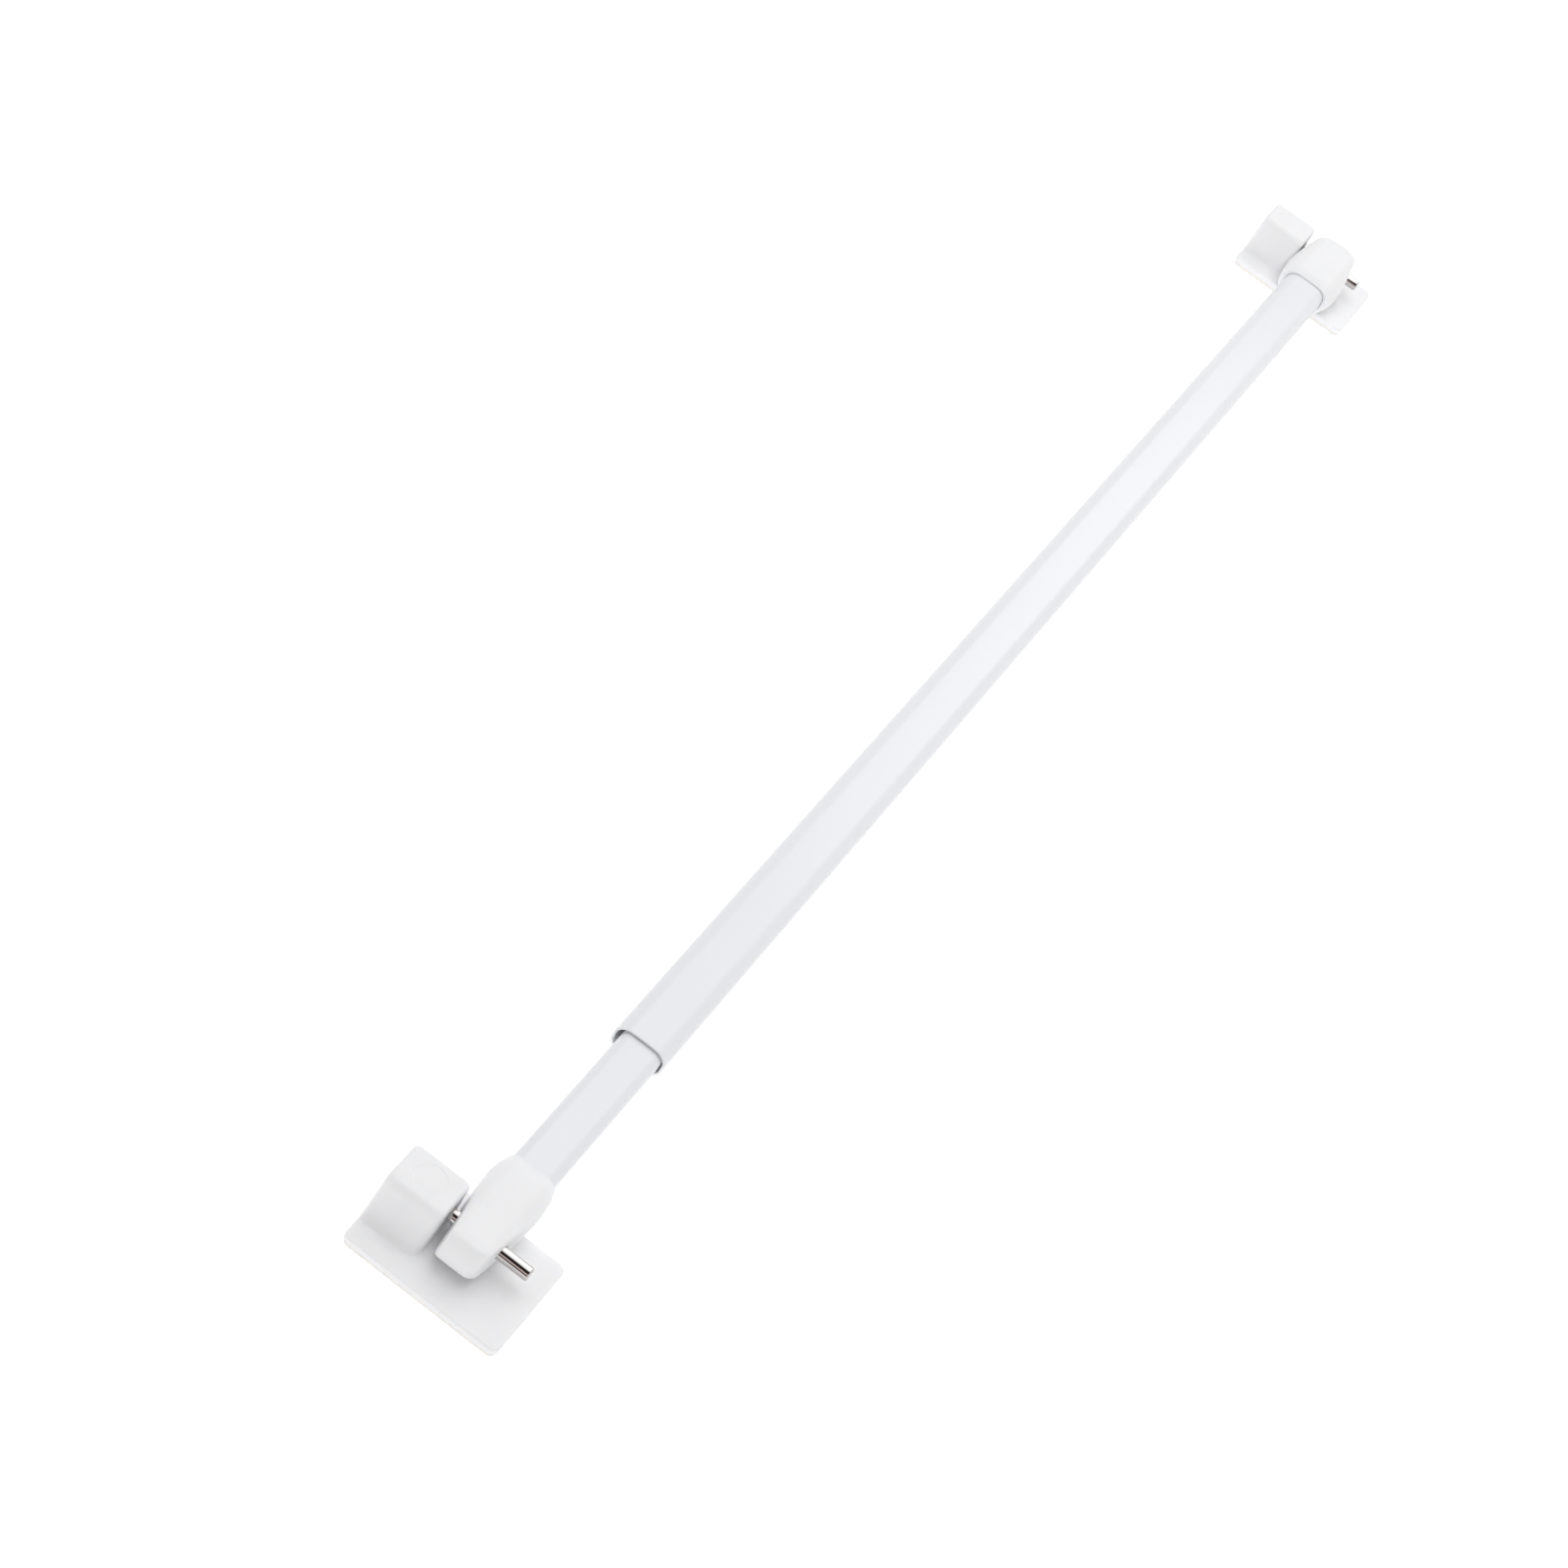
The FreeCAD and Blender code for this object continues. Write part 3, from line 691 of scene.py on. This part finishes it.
@dataclass
class EndEye:
    """A moulded end piece: a socket for the tube, a dome, and a tongue with a pin hole.

    Places along the rod count from the pin's axis towards the tube, in millimetres.
    """

    node: str
    body: str
    pin_node: str
    tube: FlatOvalTube
    turned: bool
    width: float
    height: float
    edge: float
    reach: float
    neck: float
    shoulder: float
    drop: float
    bend: float
    bend_width: float
    tip_width: float
    tip_corners: Pair
    tip_margin: float
    socket: float
    drafts: Pair = (0.0, 0.0)
    edge_sharpness: float = 30
    neck_sharpness: float = 150
    tip_sharpness: float = 16
    gentle_length: float = 0.57
    gentle_drop: float = 0.22
    neck_softness: float = 0.8
    slope_softness: float = 0.9
    bend_softness: float = 2.0
    ramp_rest: float = 0.01
    bore: float = 1.58
    bore_chamfer: float = 0.25
    drill_margin: float = 1.0
    lip_round: float = 0.3
    tube_gap: float = 0.05
    mouth_chamfer: float = 0.08
    mark_place: Pair = (2.4, 2.6)
    mark_radius: float = 1.2
    mark_depth: float = 0.04
    mark_rim: float = 0.4
    around: int = 192

    tip_steps: int = 56
    body_steps: int = 84
    lip_steps: int = 7
    halvings: int = 30
    tip_start: float = 0.002
    mouth_chamfer_depths: Pair = (0.03, 0.1)
    mouth_chamfer_width: float = 0.03
    socket_depths: Pair = (0.4, 4.0)
    face_shares: Shares = (0.35, 0.7, 1.0)
    floor_shares: Shares = (0.7, 0.35, 0.0)

    def fall(self, along: Array) -> Array:
        """How far the dome has fallen in: two slopes that follow each other softly."""
        gentle, steep = self.shoulder * self.gentle_length, self.shoulder * (1 - self.gentle_length)
        first = self.drop * self.gentle_drop / gentle
        second = self.drop * (1 - self.gentle_drop) / steep
        past_neck = soft_ramp(along - self.neck, self.neck_softness)
        past_gentle = soft_ramp(along - self.neck - gentle, self.slope_softness)
        return np.maximum(first * past_neck + (second - first) * past_gentle - self.ramp_rest, 0)

    @property
    def tip_arc(self) -> float:
        """Radius of the arc that the tip is turned to, about an axis parallel to the pin."""
        return self.height / 2 + self.tip_margin

    @property
    def mouth(self) -> float:
        """Place of the face where the tube goes in."""
        return self.neck + self.shoulder

    def flank(self, along: Array) -> Array:
        """Half the tongue's width at mid height: two straights with a soft bend."""
        slope = (self.bend_width - self.tip_width) / 2 / (self.reach + self.bend)
        past_bend = (self.width - self.bend_width) / 2 / (self.neck - self.bend)
        straight = self.tip_width / 2 + slope * (along + self.reach)
        return straight - (slope - past_bend) * soft_ramp(along - self.bend, self.bend_softness)

    def side_at(self, along: Array, z: Array, corner: Array, draft: Array) -> Array:
        """Axis to a flank at a height: it leans by its draft and turns into the tip by an arc.

        The corner's arc starts where the tip's own arc lies at that height, so that the
        tip and the flank meet in an even round from top to bottom.
        """
        tip = self.tip_arc - self.reach - np.sqrt(np.maximum(self.tip_arc**2 - z**2, 0))
        inside = np.clip(corner - (along - tip), 0, corner)
        leaning = self.flank(along) - draft * z / self.height
        return leaning - (corner - np.sqrt(corner**2 - inside**2))

    def side_reach(self, along: Array, angle: Array) -> Array:
        """Distance from the axis to the flank along each direction, found by halving.

        A point on the ray is inside while its part along y is less than the flank's
        distance at the point's height. Past the neck no flank limits the outline.
        """
        along_y, along_z = np.abs(np.cos(angle)), np.sin(angle)
        on_first_side = np.cos(angle) > 0
        corner = np.where(on_first_side, *self.tip_corners)
        draft = np.where(on_first_side, *self.drafts)
        low, high = np.zeros(angle.shape), self.width / np.maximum(along_y, 0.01)
        for _ in range(self.halvings):
            middle = (low + high) / 2
            inside = middle * along_y < self.side_at(along, middle * along_z, corner, draft)
            low, high = np.where(inside, middle, low), np.where(inside, high, middle)
        return np.where(along < self.neck, high, np.inf)

    def outer_rings(self) -> tuple[Array, ...]:
        """Place, half width, half height and edge radius of each outer ring."""
        arc, hub = self.tip_arc, self.tip_arc - self.reach
        turn = np.linspace(0.0, math.pi / 2, self.tip_steps)
        body_x = np.linspace(hub, self.mouth - self.lip_round, self.body_steps)[1:]
        along = np.concatenate([hub - arc * np.cos(turn), body_x])
        round_tip = np.maximum(arc * np.sin(turn), self.tip_start)
        round_tip = np.concatenate([round_tip, arc + (body_x - hub)])
        high = soft_lesser(round_tip, np.full(len(along), self.height / 2), self.tip_sharpness)
        fallen = self.fall(along)
        half_width, half_height = self.width / 2 - fallen, high - fallen
        edge = np.minimum(self.edge - fallen, half_height)
        return along, half_width, half_height, edge

    def lip_rings(self, last: Sequence[float]) -> list[Array]:
        """The rounded edge of the mouth, from the sizes of the last outer ring."""
        bend = quarter(self.lip_steps)[1:]
        inset = self.lip_round * (1 - np.cos(bend))
        return [self.mouth - self.lip_round * (1 - np.sin(bend))] + [size - inset for size in last]

    def hole(self) -> Triple:
        """Half width, half height and edge radius of the tube's hole."""
        half = node_middle(self.tube.node)[1] + self.tube_gap
        return half[1], half[2], self.tube.corner + self.tube_gap

    def rings(self) -> Array:
        """All rings from the tip, over the dome and the lip, and down into the socket.

        From the mouth's face inwards the rings take on the crown of the tube that the
        socket holds.
        """
        outer = self.outer_rings()
        lip = self.lip_rings([size[-1] for size in outer[1:]])
        to_hole, to_middle = np.array(self.face_shares), np.array(self.floor_shares)
        depth = np.array([*self.mouth_chamfer_depths, *self.socket_depths, self.socket])
        widening = np.where(depth <= self.mouth_chamfer_depths[0], self.mouth_chamfer_width, 0.0)
        face = [np.full(len(to_hole), self.mouth)]
        wall, floor = [self.mouth - depth], [np.full(len(to_middle), self.mouth - self.socket)]
        for end, size in zip(lip[1:], self.hole()):
            face.append(end[-1] + (size + self.mouth_chamfer - end[-1]) * to_hole)
            wall.append(size + widening)
            floor.append(np.maximum(size * to_middle, TINY))
        place, half_w, half_h, corner = (
            np.concatenate(column)[:, None] for column in zip(outer, lip, face, wall, floor))
        crowned = [np.zeros(len(outer[0]) + len(lip[0])), to_hole, np.ones(len(depth)), to_middle]
        crown = self.tube.crown * np.concatenate(crowned)[:, None]

        angle = directions(self.around, np.minimum(half_w, self.flank(place)), half_h)
        reach = outline_reach(angle, half_w, half_h, corner)
        sharpness = self.edge_sharpness + self.neck_sharpness * smooth_step(place / self.neck)
        reach = soft_lesser(reach, self.side_reach(place, angle), sharpness)
        y, z = reach * np.cos(angle), reach * np.sin(angle)
        z = z * (1 - crown / half_h * (y / half_w) ** 2)
        return points(place, y, z - self.mark(place, y, z))

    def mark(self, along: Array, y: Array, z: Array) -> Array:
        """A shallow round ejector mark on top, beside the pin hole."""
        away = np.hypot(along - self.mark_place[0], y - self.mark_place[1])
        inside = smooth_step((self.mark_radius - away) / self.mark_rim + 0.5)
        return np.where(z > self.height / 3, self.mark_depth * inside, 0.0)

    def build(self) -> None:
        """Skin the rings, set the eye on its tube's axis, and bore the pin hole."""
        pin, axis_y = node_middle(self.pin_node)[0], node_middle(self.tube.node)[0][1]
        rings = self.rings()
        if self.turned:
            rings = rings * np.array([-1.0, -1.0, 1.0])
        piece = skin(f"{self.node}_moulding", rings + np.array([pin[0], axis_y, pin[2]]))
        flare = self.flank(np.array([0.0]))[0]
        wide = self.bore + self.bore_chamfer + self.drill_margin
        half = [
            (flare - self.bore_chamfer, self.bore), (flare + self.drill_margin, wide),
            (self.width, wide), (self.width, 0.0),
        ]
        profile = [(axis_y - y, radius) for y, radius in reversed(half)] + [(axis_y, self.bore)]
        profile += [(axis_y + y, radius) for y, radius in half]
        drill = lathe_along_y(f"{self.node}_drill", profile, (pin[0], pin[2]))
        combine(piece, drill, Cut.TAKE_AWAY)
        dress(piece, PLASTIC, self.body, self.node)


def slab_rings(
    node: str, corner: float, low: float, high: float,
    low_round: float, high_round: float, around: int,
) -> Array:
    """Rings of a flat slab from the middle of its underside round to the middle of its top.

    The outline is a rounded rectangle of the node's length and width. At each edge it is
    drawn in by a circle's arc as the height goes over the same arc, and on the faces it
    shrinks to the middle.
    """
    centre, half = node_middle(node)
    bend, shrink = quarter(SLAB_EDGE_STEPS), np.array(SLAB_FACE_SHARES)
    inset = np.concatenate([low_round * (1 - np.sin(bend)), high_round * (1 - np.cos(bend))])
    rise = low + low_round * (1 - np.cos(bend)), high - high_round * (1 - np.sin(bend))
    faces = np.full(len(shrink), low), np.full(len(shrink), high)
    heights = np.concatenate([faces[0], *rise, faces[1]])[:, None]

    def drawn_in(size: float) -> Array:
        """One size of the outline, ring by ring."""
        under, over = (size - low_round) * shrink, (size - high_round) * shrink[::-1]
        return np.concatenate([under, size - inset, over])[:, None]

    half_x, half_y = np.maximum(drawn_in(half[0]), TINY), np.maximum(drawn_in(half[1]), TINY)
    angle = directions(around, half_x, half_y)
    reach = outline_reach(angle, half_x, half_y, drawn_in(corner))
    return points(centre[0] + reach * np.cos(angle), centre[1] + reach * np.sin(angle), heights)


@dataclass
class StickOnBracket:
    """Plate and block in one moulding, with its pin, its foam pad and its release paper."""

    end: str
    body: str
    pin_body: str
    around: int = 200

    half_length: float = 5.4
    depth: float = 13.0
    slope_run: float = 3.3
    slope_hollow: float = 0.15
    plate_thickness: float = 1.5
    plate_corner: float = 1.6
    plate_round: float = 0.35
    plate_foot_round: float = 0.12
    block_round: float = 0.8
    slope_round: float = 1.7
    pin_corner: float = 1.3
    back_corner: float = 1.2
    slope_corner: float = 1.0
    slope_corner_foot: float = 2.6
    slope_back_corner: float = 1.5
    slope_back_corner_foot: float = 0.5
    corner_thinning: float = 0.6
    least_corner: float = 0.1
    foot_round: float = 0.3
    foot_sweep: float = 0.6
    foot_sweep_height: float = 0.6
    bore: float = 1.58
    bore_floor_gap: float = 0.1
    bore_chamfer: float = 0.15
    drill_margin: float = 3.0
    sheet_corner: float = 1.3
    foam_edge: float = 0.12
    paper_edge: float = 0.03
    pin_chamfer: float = 0.3
    pin_edge: float = 0.05
    pin_edge_rise: float = 0.015
    pin_face_ring: float = 0.6
    pin_around: int = 96
    mark_radius: float = 3.5
    mark_shift: float = 0.25
    mark_depth: float = 0.06
    mark_rim: float = 0.02

    buried: Pair = (1.0, 0.1)
    foot_steps: int = 6
    wall_steps: int = 40
    edge_steps: int = 9
    to_rim: Shares = (0.2, 0.45, 0.7, 0.9)
    rim_outset: Shares = (0.25, 0.18, 0.1, 0.04, -0.04, -0.12, -0.25)
    rim_heights: Shares = (0.0, 0.6, 1.0, 0.5, -1.2, -2.2, -2.4)
    in_mark: Shares = (0.8, 0.5, 0.2, 0.0)

    def build(self) -> None:
        """Build and dress the moulding, the pin, the foam and the paper."""
        self.build_moulding()
        self.build_pin()
        self.build_sheet("foam_pad", FOAM, self.foam_edge)
        self.build_sheet("liner", PAPER, self.paper_edge)

    def build_sheet(self, part: str, finish: Finish, edge: float) -> None:
        """The foam or the paper: a thin slab with slightly rounded cut edges."""
        node = f"{self.end}_{part}"
        low, high = node_box(node)
        rings = slab_rings(node, self.sheet_corner, low[2], high[2], edge, edge, self.around)
        dress(skin(f"{node}_sheet", rings), finish, self.body, node)

    def build_pin(self) -> None:
        """A drawn pin, its ends chamfered and the chamfers' edges just broken."""
        node = f"{self.end}_pin"
        (low, high), (centre, half) = node_box(node), node_middle(node)
        face, chamfer, edge = half[0] - self.pin_chamfer, self.pin_chamfer, self.pin_edge
        end = [
            (0.0, 0.0), (0.0, self.pin_face_ring), (0.0, face - edge), (self.pin_edge_rise, face),
            (chamfer - edge, half[0] - edge), (chamfer + edge, half[0]),
        ]
        profile = [(low[1] + y, r) for y, r in end] + [(high[1] - y, r) for y, r in reversed(end)]
        piece = lathe_along_y(f"{node}_wire", profile, (centre[0], centre[2]), self.pin_around)
        dress(piece, STEEL, self.pin_body, node)

    def wall_rings(self, plate_top: float, top: float) -> Array:
        """Rings of the block's sides, from inside the plate up to its flat top.

        Going up, the outline is a rounded rectangle whose slope side follows a hollow
        arc, whose foot flares out by a circle's arc and whose top edge is drawn in by
        one. The hollow's depth is that of a parabola at half height.
        """
        foot_bend, edge_bend = quarter(self.foot_steps), quarter(self.edge_steps)[1:]
        foot = plate_top + self.foot_round * (1 - np.cos(foot_bend))
        wall = np.linspace(foot[-1], top - self.block_round, self.wall_steps)[1:]
        edge = top - self.block_round * (1 - np.sin(edge_bend))
        under = plate_top - np.array(self.buried)
        heights = np.concatenate([under, foot, wall, edge])
        foot_flare = self.foot_round * (1 - np.sin(foot_bend))
        above, below = len(wall) + len(edge), len(under) + len(foot) + len(wall)
        flare = np.concatenate([np.full(len(under), self.foot_round), foot_flare, np.zeros(above)])
        inset = np.concatenate([np.zeros(below), self.block_round * (1 - np.cos(edge_bend))])
        share = np.clip((heights - plate_top) / (top - plate_top), 0, 1)
        run = self.slope_run * (1 - share) - 4 * self.slope_hollow * share * (1 - share)
        over_plate = (heights - plate_top).clip(0)
        run = run + self.foot_sweep * np.exp(-over_plate / self.foot_sweep_height)
        into = np.clip(self.slope_round - (top - heights), 0, self.slope_round)
        left = -self.half_length - run + self.slope_round - np.sqrt(self.slope_round**2 - into**2)
        right = self.half_length - inset + flare
        front, back = -flare + inset, self.depth - inset
        half_x, half_y = (right - left)[:, None] / 2, (back - front)[:, None] / 2
        middle_x, middle_y = (right + left)[:, None] / 2, (back + front)[:, None] / 2
        angle = directions(self.around, half_x, half_y)
        corner = self.corners(angle, share[:, None])
        corner = np.maximum(corner - inset[:, None] * self.corner_thinning, self.least_corner)
        reach = outline_reach(angle, half_x, half_y, corner)
        x, y = middle_x + reach * np.cos(angle), middle_y + reach * np.sin(angle)
        return points(x, y, heights[:, None])

    def corners(self, angle: Array, share: Array) -> Array:
        """Each corner's radius; the two on the slope change from the foot to the top."""
        on_pin_side, on_slope = np.sin(angle) < 0, np.cos(angle) < 0
        in_front = self.slope_corner_foot + (self.slope_corner - self.slope_corner_foot) * share
        behind = self.slope_back_corner_foot
        behind = behind + (self.slope_back_corner - behind) * share
        upright = np.where(on_pin_side, self.pin_corner, self.back_corner)
        return np.where(on_slope, np.where(on_pin_side, in_front, behind), upright)

    def block_rings(self, plate_top: float, top: float) -> Array:
        """The block's sides, and on its top the outline that turns into the round mark.

        The top's rings turn into the mark's circle, dip, and shrink away.
        """
        walls = self.wall_rings(plate_top, top)
        step = np.linspace(0, 2 * math.pi, self.around, endpoint=False)
        circle = np.column_stack([np.cos(step), np.sin(step)])
        middle = np.array([self.mark_shift, self.depth / 2])
        rim = self.mark_radius + np.array(self.rim_outset)
        radii = np.concatenate([rim, self.mark_radius * np.array(self.in_mark)])[:, None, None]
        part = np.array(self.to_rim)[:, None, None]
        towards = walls[-1, :, :2] * (1 - part) + (circle * rim[0] + middle) * part
        spots = np.concatenate([towards, circle * radii + middle])
        rise = np.array(self.rim_heights) * self.mark_rim
        dip = np.full(len(self.in_mark), -self.mark_depth)
        levels = top + np.concatenate([np.zeros(len(part)), rise, dip])
        under = walls[0].copy()
        under[:, :2] = middle
        return np.concatenate([
            under[None], walls, points(spots[..., 0], spots[..., 1], levels[:, None])])

    def build_moulding(self) -> None:
        """Join plate and block, and sink the pin's blind hole into the block's face."""
        node = f"{self.end}_bracket"
        (low, high), (pin, pin_half) = node_box(node), node_middle(f"{self.end}_pin")
        face_y, plate_top = high[1] - self.depth, low[2] + self.plate_thickness
        plate = slab_rings(node, self.plate_corner, low[2], plate_top, self.plate_foot_round,
                           self.plate_round, self.around)
        piece = skin(f"{node}_moulding", plate)
        block = self.block_rings(plate_top, high[2]) + np.array([pin[0], face_y, 0.0])
        combine(piece, skin(f"{node}_block", block), Cut.ADD)
        outside, floor = face_y - self.drill_margin, pin[1] + pin_half[1] + self.bore_floor_gap
        profile = [
            (outside, 0.0), (outside, self.bore + self.drill_margin),
            (face_y + self.bore_chamfer, self.bore), (floor, self.bore), (floor, 0.0),
        ]
        drill = lathe_along_y(f"{node}_drill", profile, (pin[0], pin[2]))
        combine(piece, drill, Cut.TAKE_AWAY)
        dress(piece, PLASTIC, self.body, node)


@dataclass
class HiddenSlide:
    """The guide plug and the friction leaf, whose CAD shapes are right as they are."""

    finishes: ClassVar[Mapping[str, Finish]] = {"guide_plug": ACETAL, "friction_leaf": SPRING}

    def dress(self) -> None:
        """Give each CAD node its finish."""
        for node, finish in self.finishes.items():
            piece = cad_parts[node]
            piece.data.materials.clear()
            piece.data.materials.append(finish.material())
            log.info("%s keeps its CAD shape in %s", node, finish.name)


@dataclass
class SoftLamp:
    """A square softbox: where it stands, its side and its power."""

    name: str
    place: Triple
    side: float
    power: float
    colour: str = WHITE

    def build(self, aim: Vector) -> None:
        """Hang the lamp and turn it to the object."""
        lamp = bpy.data.lights.new(self.name, "AREA")
        lamp.shape = "SQUARE"
        lamp.size = self.side
        lamp.energy = self.power
        lamp.color = linear(self.colour)[:3]
        stand = new_object(self.name, lamp)
        stand.location = self.place
        stand.rotation_euler = (aim - Vector(self.place)).to_track_quat("-Z", "Y").to_euler()


@dataclass
class MirroredCard:
    """A glowing card that only reflections see: a painted reflection that stands in for the dark
    room round the lamps.
    """

    name: str
    low_degrees: float
    high_degrees: float
    colour: str
    distance: float = 1.1
    half_depth: float = 1.6
    steps: int = 13

    def build(self) -> None:
        """Stand a strip of a drum about the y axis, between two angles from straight up.

        A point of the strip lies at the drum's radius times the angle's sine towards -x
        and times its cosine upwards.
        """
        angle = np.radians(np.linspace(self.low_degrees, self.high_degrees, self.steps))[:, None]
        depth = np.array([-self.half_depth, self.half_depth])[None, :]
        x, z = -self.distance * np.sin(angle), self.distance * np.cos(angle)
        card = skin(self.name, points(x, depth, z) / MM, closed=False)
        paint, tree = new_material(self.name)
        # The card glows though it is no lamp: its colour is a painted reflection.
        glow = add_node(
            tree, "Emission", None, {"Color": linear(self.colour), "Strength": 1.0})
        tree.links.new(glow.outputs[0], tree.nodes["Material Output"].inputs["Surface"])
        card.data.materials.append(paint)
        card.visible_camera = card.visible_diffuse = card.visible_shadow = False
        card.visible_transmission = card.visible_volume_scatter = False


@dataclass
class Studio:
    """The pale floor, the white surround, the lamps and the photograph's camera."""

    camera_place: Triple = (-0.595, -0.0536, 0.50805)
    camera_right: Triple = (0.4692, -0.7957, 0.3830)
    camera_ahead: Triple = (0.7175, 0.0907, -0.6907)
    focal_pixels: float = 3401.1
    image_pixels: float = 1600.0
    sensor_mm: float = 36.0
    clip: Pair = (0.01, 50)
    surround: float = 0.52
    floor_side: float = 12.0
    floor_shadow: float = 0.12
    floor_bounce: str = "#E0E0E0"
    floor_glow: float = 0.64
    floor_roughness: float = 0.9
    floor_specular: float = 0.1
    lamps: Sequence[SoftLamp] = (
        SoftLamp("far_end_softbox", (1.3, -0.1, 1.1), 0.9, 4.7),
        SoftLamp("near_overhead_softbox", (0.02, 0.0, 0.8), 0.7, 1.85),
        SoftLamp("high_overhead_softbox", (0.1, 0.3, 1.7), 1.4, 3.2),
        SoftLamp("low_front_softbox", (-1.1, -0.1, 0.45), 0.8, 0.7),
    )
    # Glowing cards seen only in reflections: painted dark, pale and dim reflections on the pins and
    # the lacquer.
    cards: Sequence[MirroredCard] = (
        MirroredCard("dark_reflection_card", -6, 57, "#2A2426"),
        MirroredCard("pale_reflection_card", 57, 75, "#DCCBC6"),
        MirroredCard("dim_reflection_card", 75, 89.7, "#4C3D3A"),
    )

    def build(self) -> None:
        """Set up the camera, the lamps, the cards, the surround and the floor."""
        self.build_camera()
        self.build_surround()
        self.build_floor()
        for card in self.cards:
            card.build()
        for lamp in self.lamps:
            lamp.build(Vector((0, 0, 0)))
        bpy.context.scene.view_settings.view_transform = "Standard"

    def build_camera(self) -> None:
        """Stand the camera where the photograph was taken from."""
        lens = bpy.data.cameras.new("photo_camera")
        lens.sensor_width = self.sensor_mm
        lens.lens = self.sensor_mm * self.focal_pixels / self.image_pixels
        lens.clip_start, lens.clip_end = self.clip
        camera = new_object("photo_camera", lens)
        ahead = Vector(self.camera_ahead).normalized()
        up = Vector(self.camera_right).normalized().cross(ahead).normalized()
        right = ahead.cross(up)
        turn = Matrix((right, up, -ahead)).transposed()
        camera.matrix_world = Matrix.Translation(self.camera_place) @ turn.to_4x4()
        bpy.context.scene.camera = camera

    @staticmethod
    def seen_directly(tree: Tree) -> Socket:
        """One for a ray from the camera, a reflection or glass, and nought for the rest."""
        path = add_node(tree, "LightPath").outputs
        seen = path["Is Camera Ray"]
        for ray in ("Is Glossy Ray", "Is Transmission Ray"):
            seen = add_node(tree, "Math", {"operation": "MAXIMUM"}, None,
                            {0: seen, 1: path[ray]}).outputs[0]
        return seen

    def build_surround(self) -> None:
        """White where it is seen, and a plain dim light for everything else."""
        world = bpy.data.worlds.new("white_surround")
        world.use_nodes = True
        bpy.context.scene.world = world
        tree = world.node_tree
        shown = self.seen_directly(tree)
        strength = add_node(tree, "MapRange", None,
                            {"To Min": self.surround, "To Max": 1.0}, {"Value": shown})
        tree.links.new(strength.outputs["Result"], tree.nodes["Background"].inputs["Strength"])
        tree.nodes["Background"].inputs["Color"].default_value = linear(WHITE)

    def build_floor(self) -> None:
        """A pale sheet that is white where it is seen and keeps a faint shadow."""
        half = self.floor_side / 2
        mesh = bpy.data.meshes.new("pale_floor")
        corners = [(-half, -half, 0), (half, -half, 0), (half, half, 0), (-half, half, 0)]
        mesh.from_pydata(corners, [], [(0, 1, 2, 3)])
        floor = new_object("pale_floor", mesh)
        paint, tree = new_material("matt_white_board")
        board = tree.nodes["Principled BSDF"]
        shown = self.seen_directly(tree)
        tone = add_node(tree, "Mix", {"data_type": "RGBA"},
                        {"A": linear(self.floor_bounce), "B": linear(WHITE)}, {"Factor": shown})
        tree.links.new(tone.outputs["Result"], board.inputs["Base Color"])
        board.inputs["Emission Color"].default_value = linear(WHITE)
        board.inputs["Emission Strength"].default_value = self.floor_glow
        board.inputs["Roughness"].default_value = self.floor_roughness
        board.inputs["Specular IOR Level"].default_value = self.floor_specular
        glow = add_node(tree, "Emission", None, {"Color": linear(WHITE), "Strength": 1.0})
        share = add_node(
            tree, "Math", {"operation": "MULTIPLY"}, {1: 1 - self.floor_shadow}, {0: shown})
        mixed = add_node(tree, "MixShader", None, None,
                         {0: share.outputs[0], 1: board.outputs[0], 2: glow.outputs[0]})
        tree.links.new(mixed.outputs[0], tree.nodes["Material Output"].inputs["Surface"])
        mesh.materials.append(paint)


def main() -> None:
    """Build the rod, its ends, its brackets and the studio, in that order."""
    logging.basicConfig(level=logging.INFO, format="%(message)s")
    outer = FlatOvalTube("outer_tube", "outer_rod", corner=3.0, crown=0.35)
    inner = FlatOvalTube("inner_tube", "inner_rod", corner=2.15, crown=0.3)
    small_eye = EndEye(
        "inner_end_eye", "inner_rod", "near_pin", inner, turned=False,
        width=13.2, height=9.0, edge=3.9, reach=8.3, neck=11.8, shoulder=6.3, drop=1.15,
        bend=5.5, bend_width=12.3, tip_width=8.0, tip_corners=(0.9, 2.2), tip_margin=1.2,
        socket=12.5, drafts=(0.8, 0.0),
    )
    large_eye = EndEye(
        "outer_end_eye", "outer_rod", "far_pin", outer, turned=True,
        width=16.9, height=10.4, edge=4.9, reach=7.8, neck=12.0, shoulder=7.1, drop=1.05,
        bend=5.5, bend_width=15.6, tip_width=10.8, tip_corners=(3.2, 4.6), tip_margin=0.4,
        socket=13.5, edge_sharpness=12,
    )
    for piece in (outer, inner, small_eye, large_eye):
        piece.build()
    for end in ("near", "far"):
        StickOnBracket(end, f"{end}_bracket", f"{end}_pin").build()
    HiddenSlide().dress()
    Studio().build()


if __name__ == "__main__":
    main()
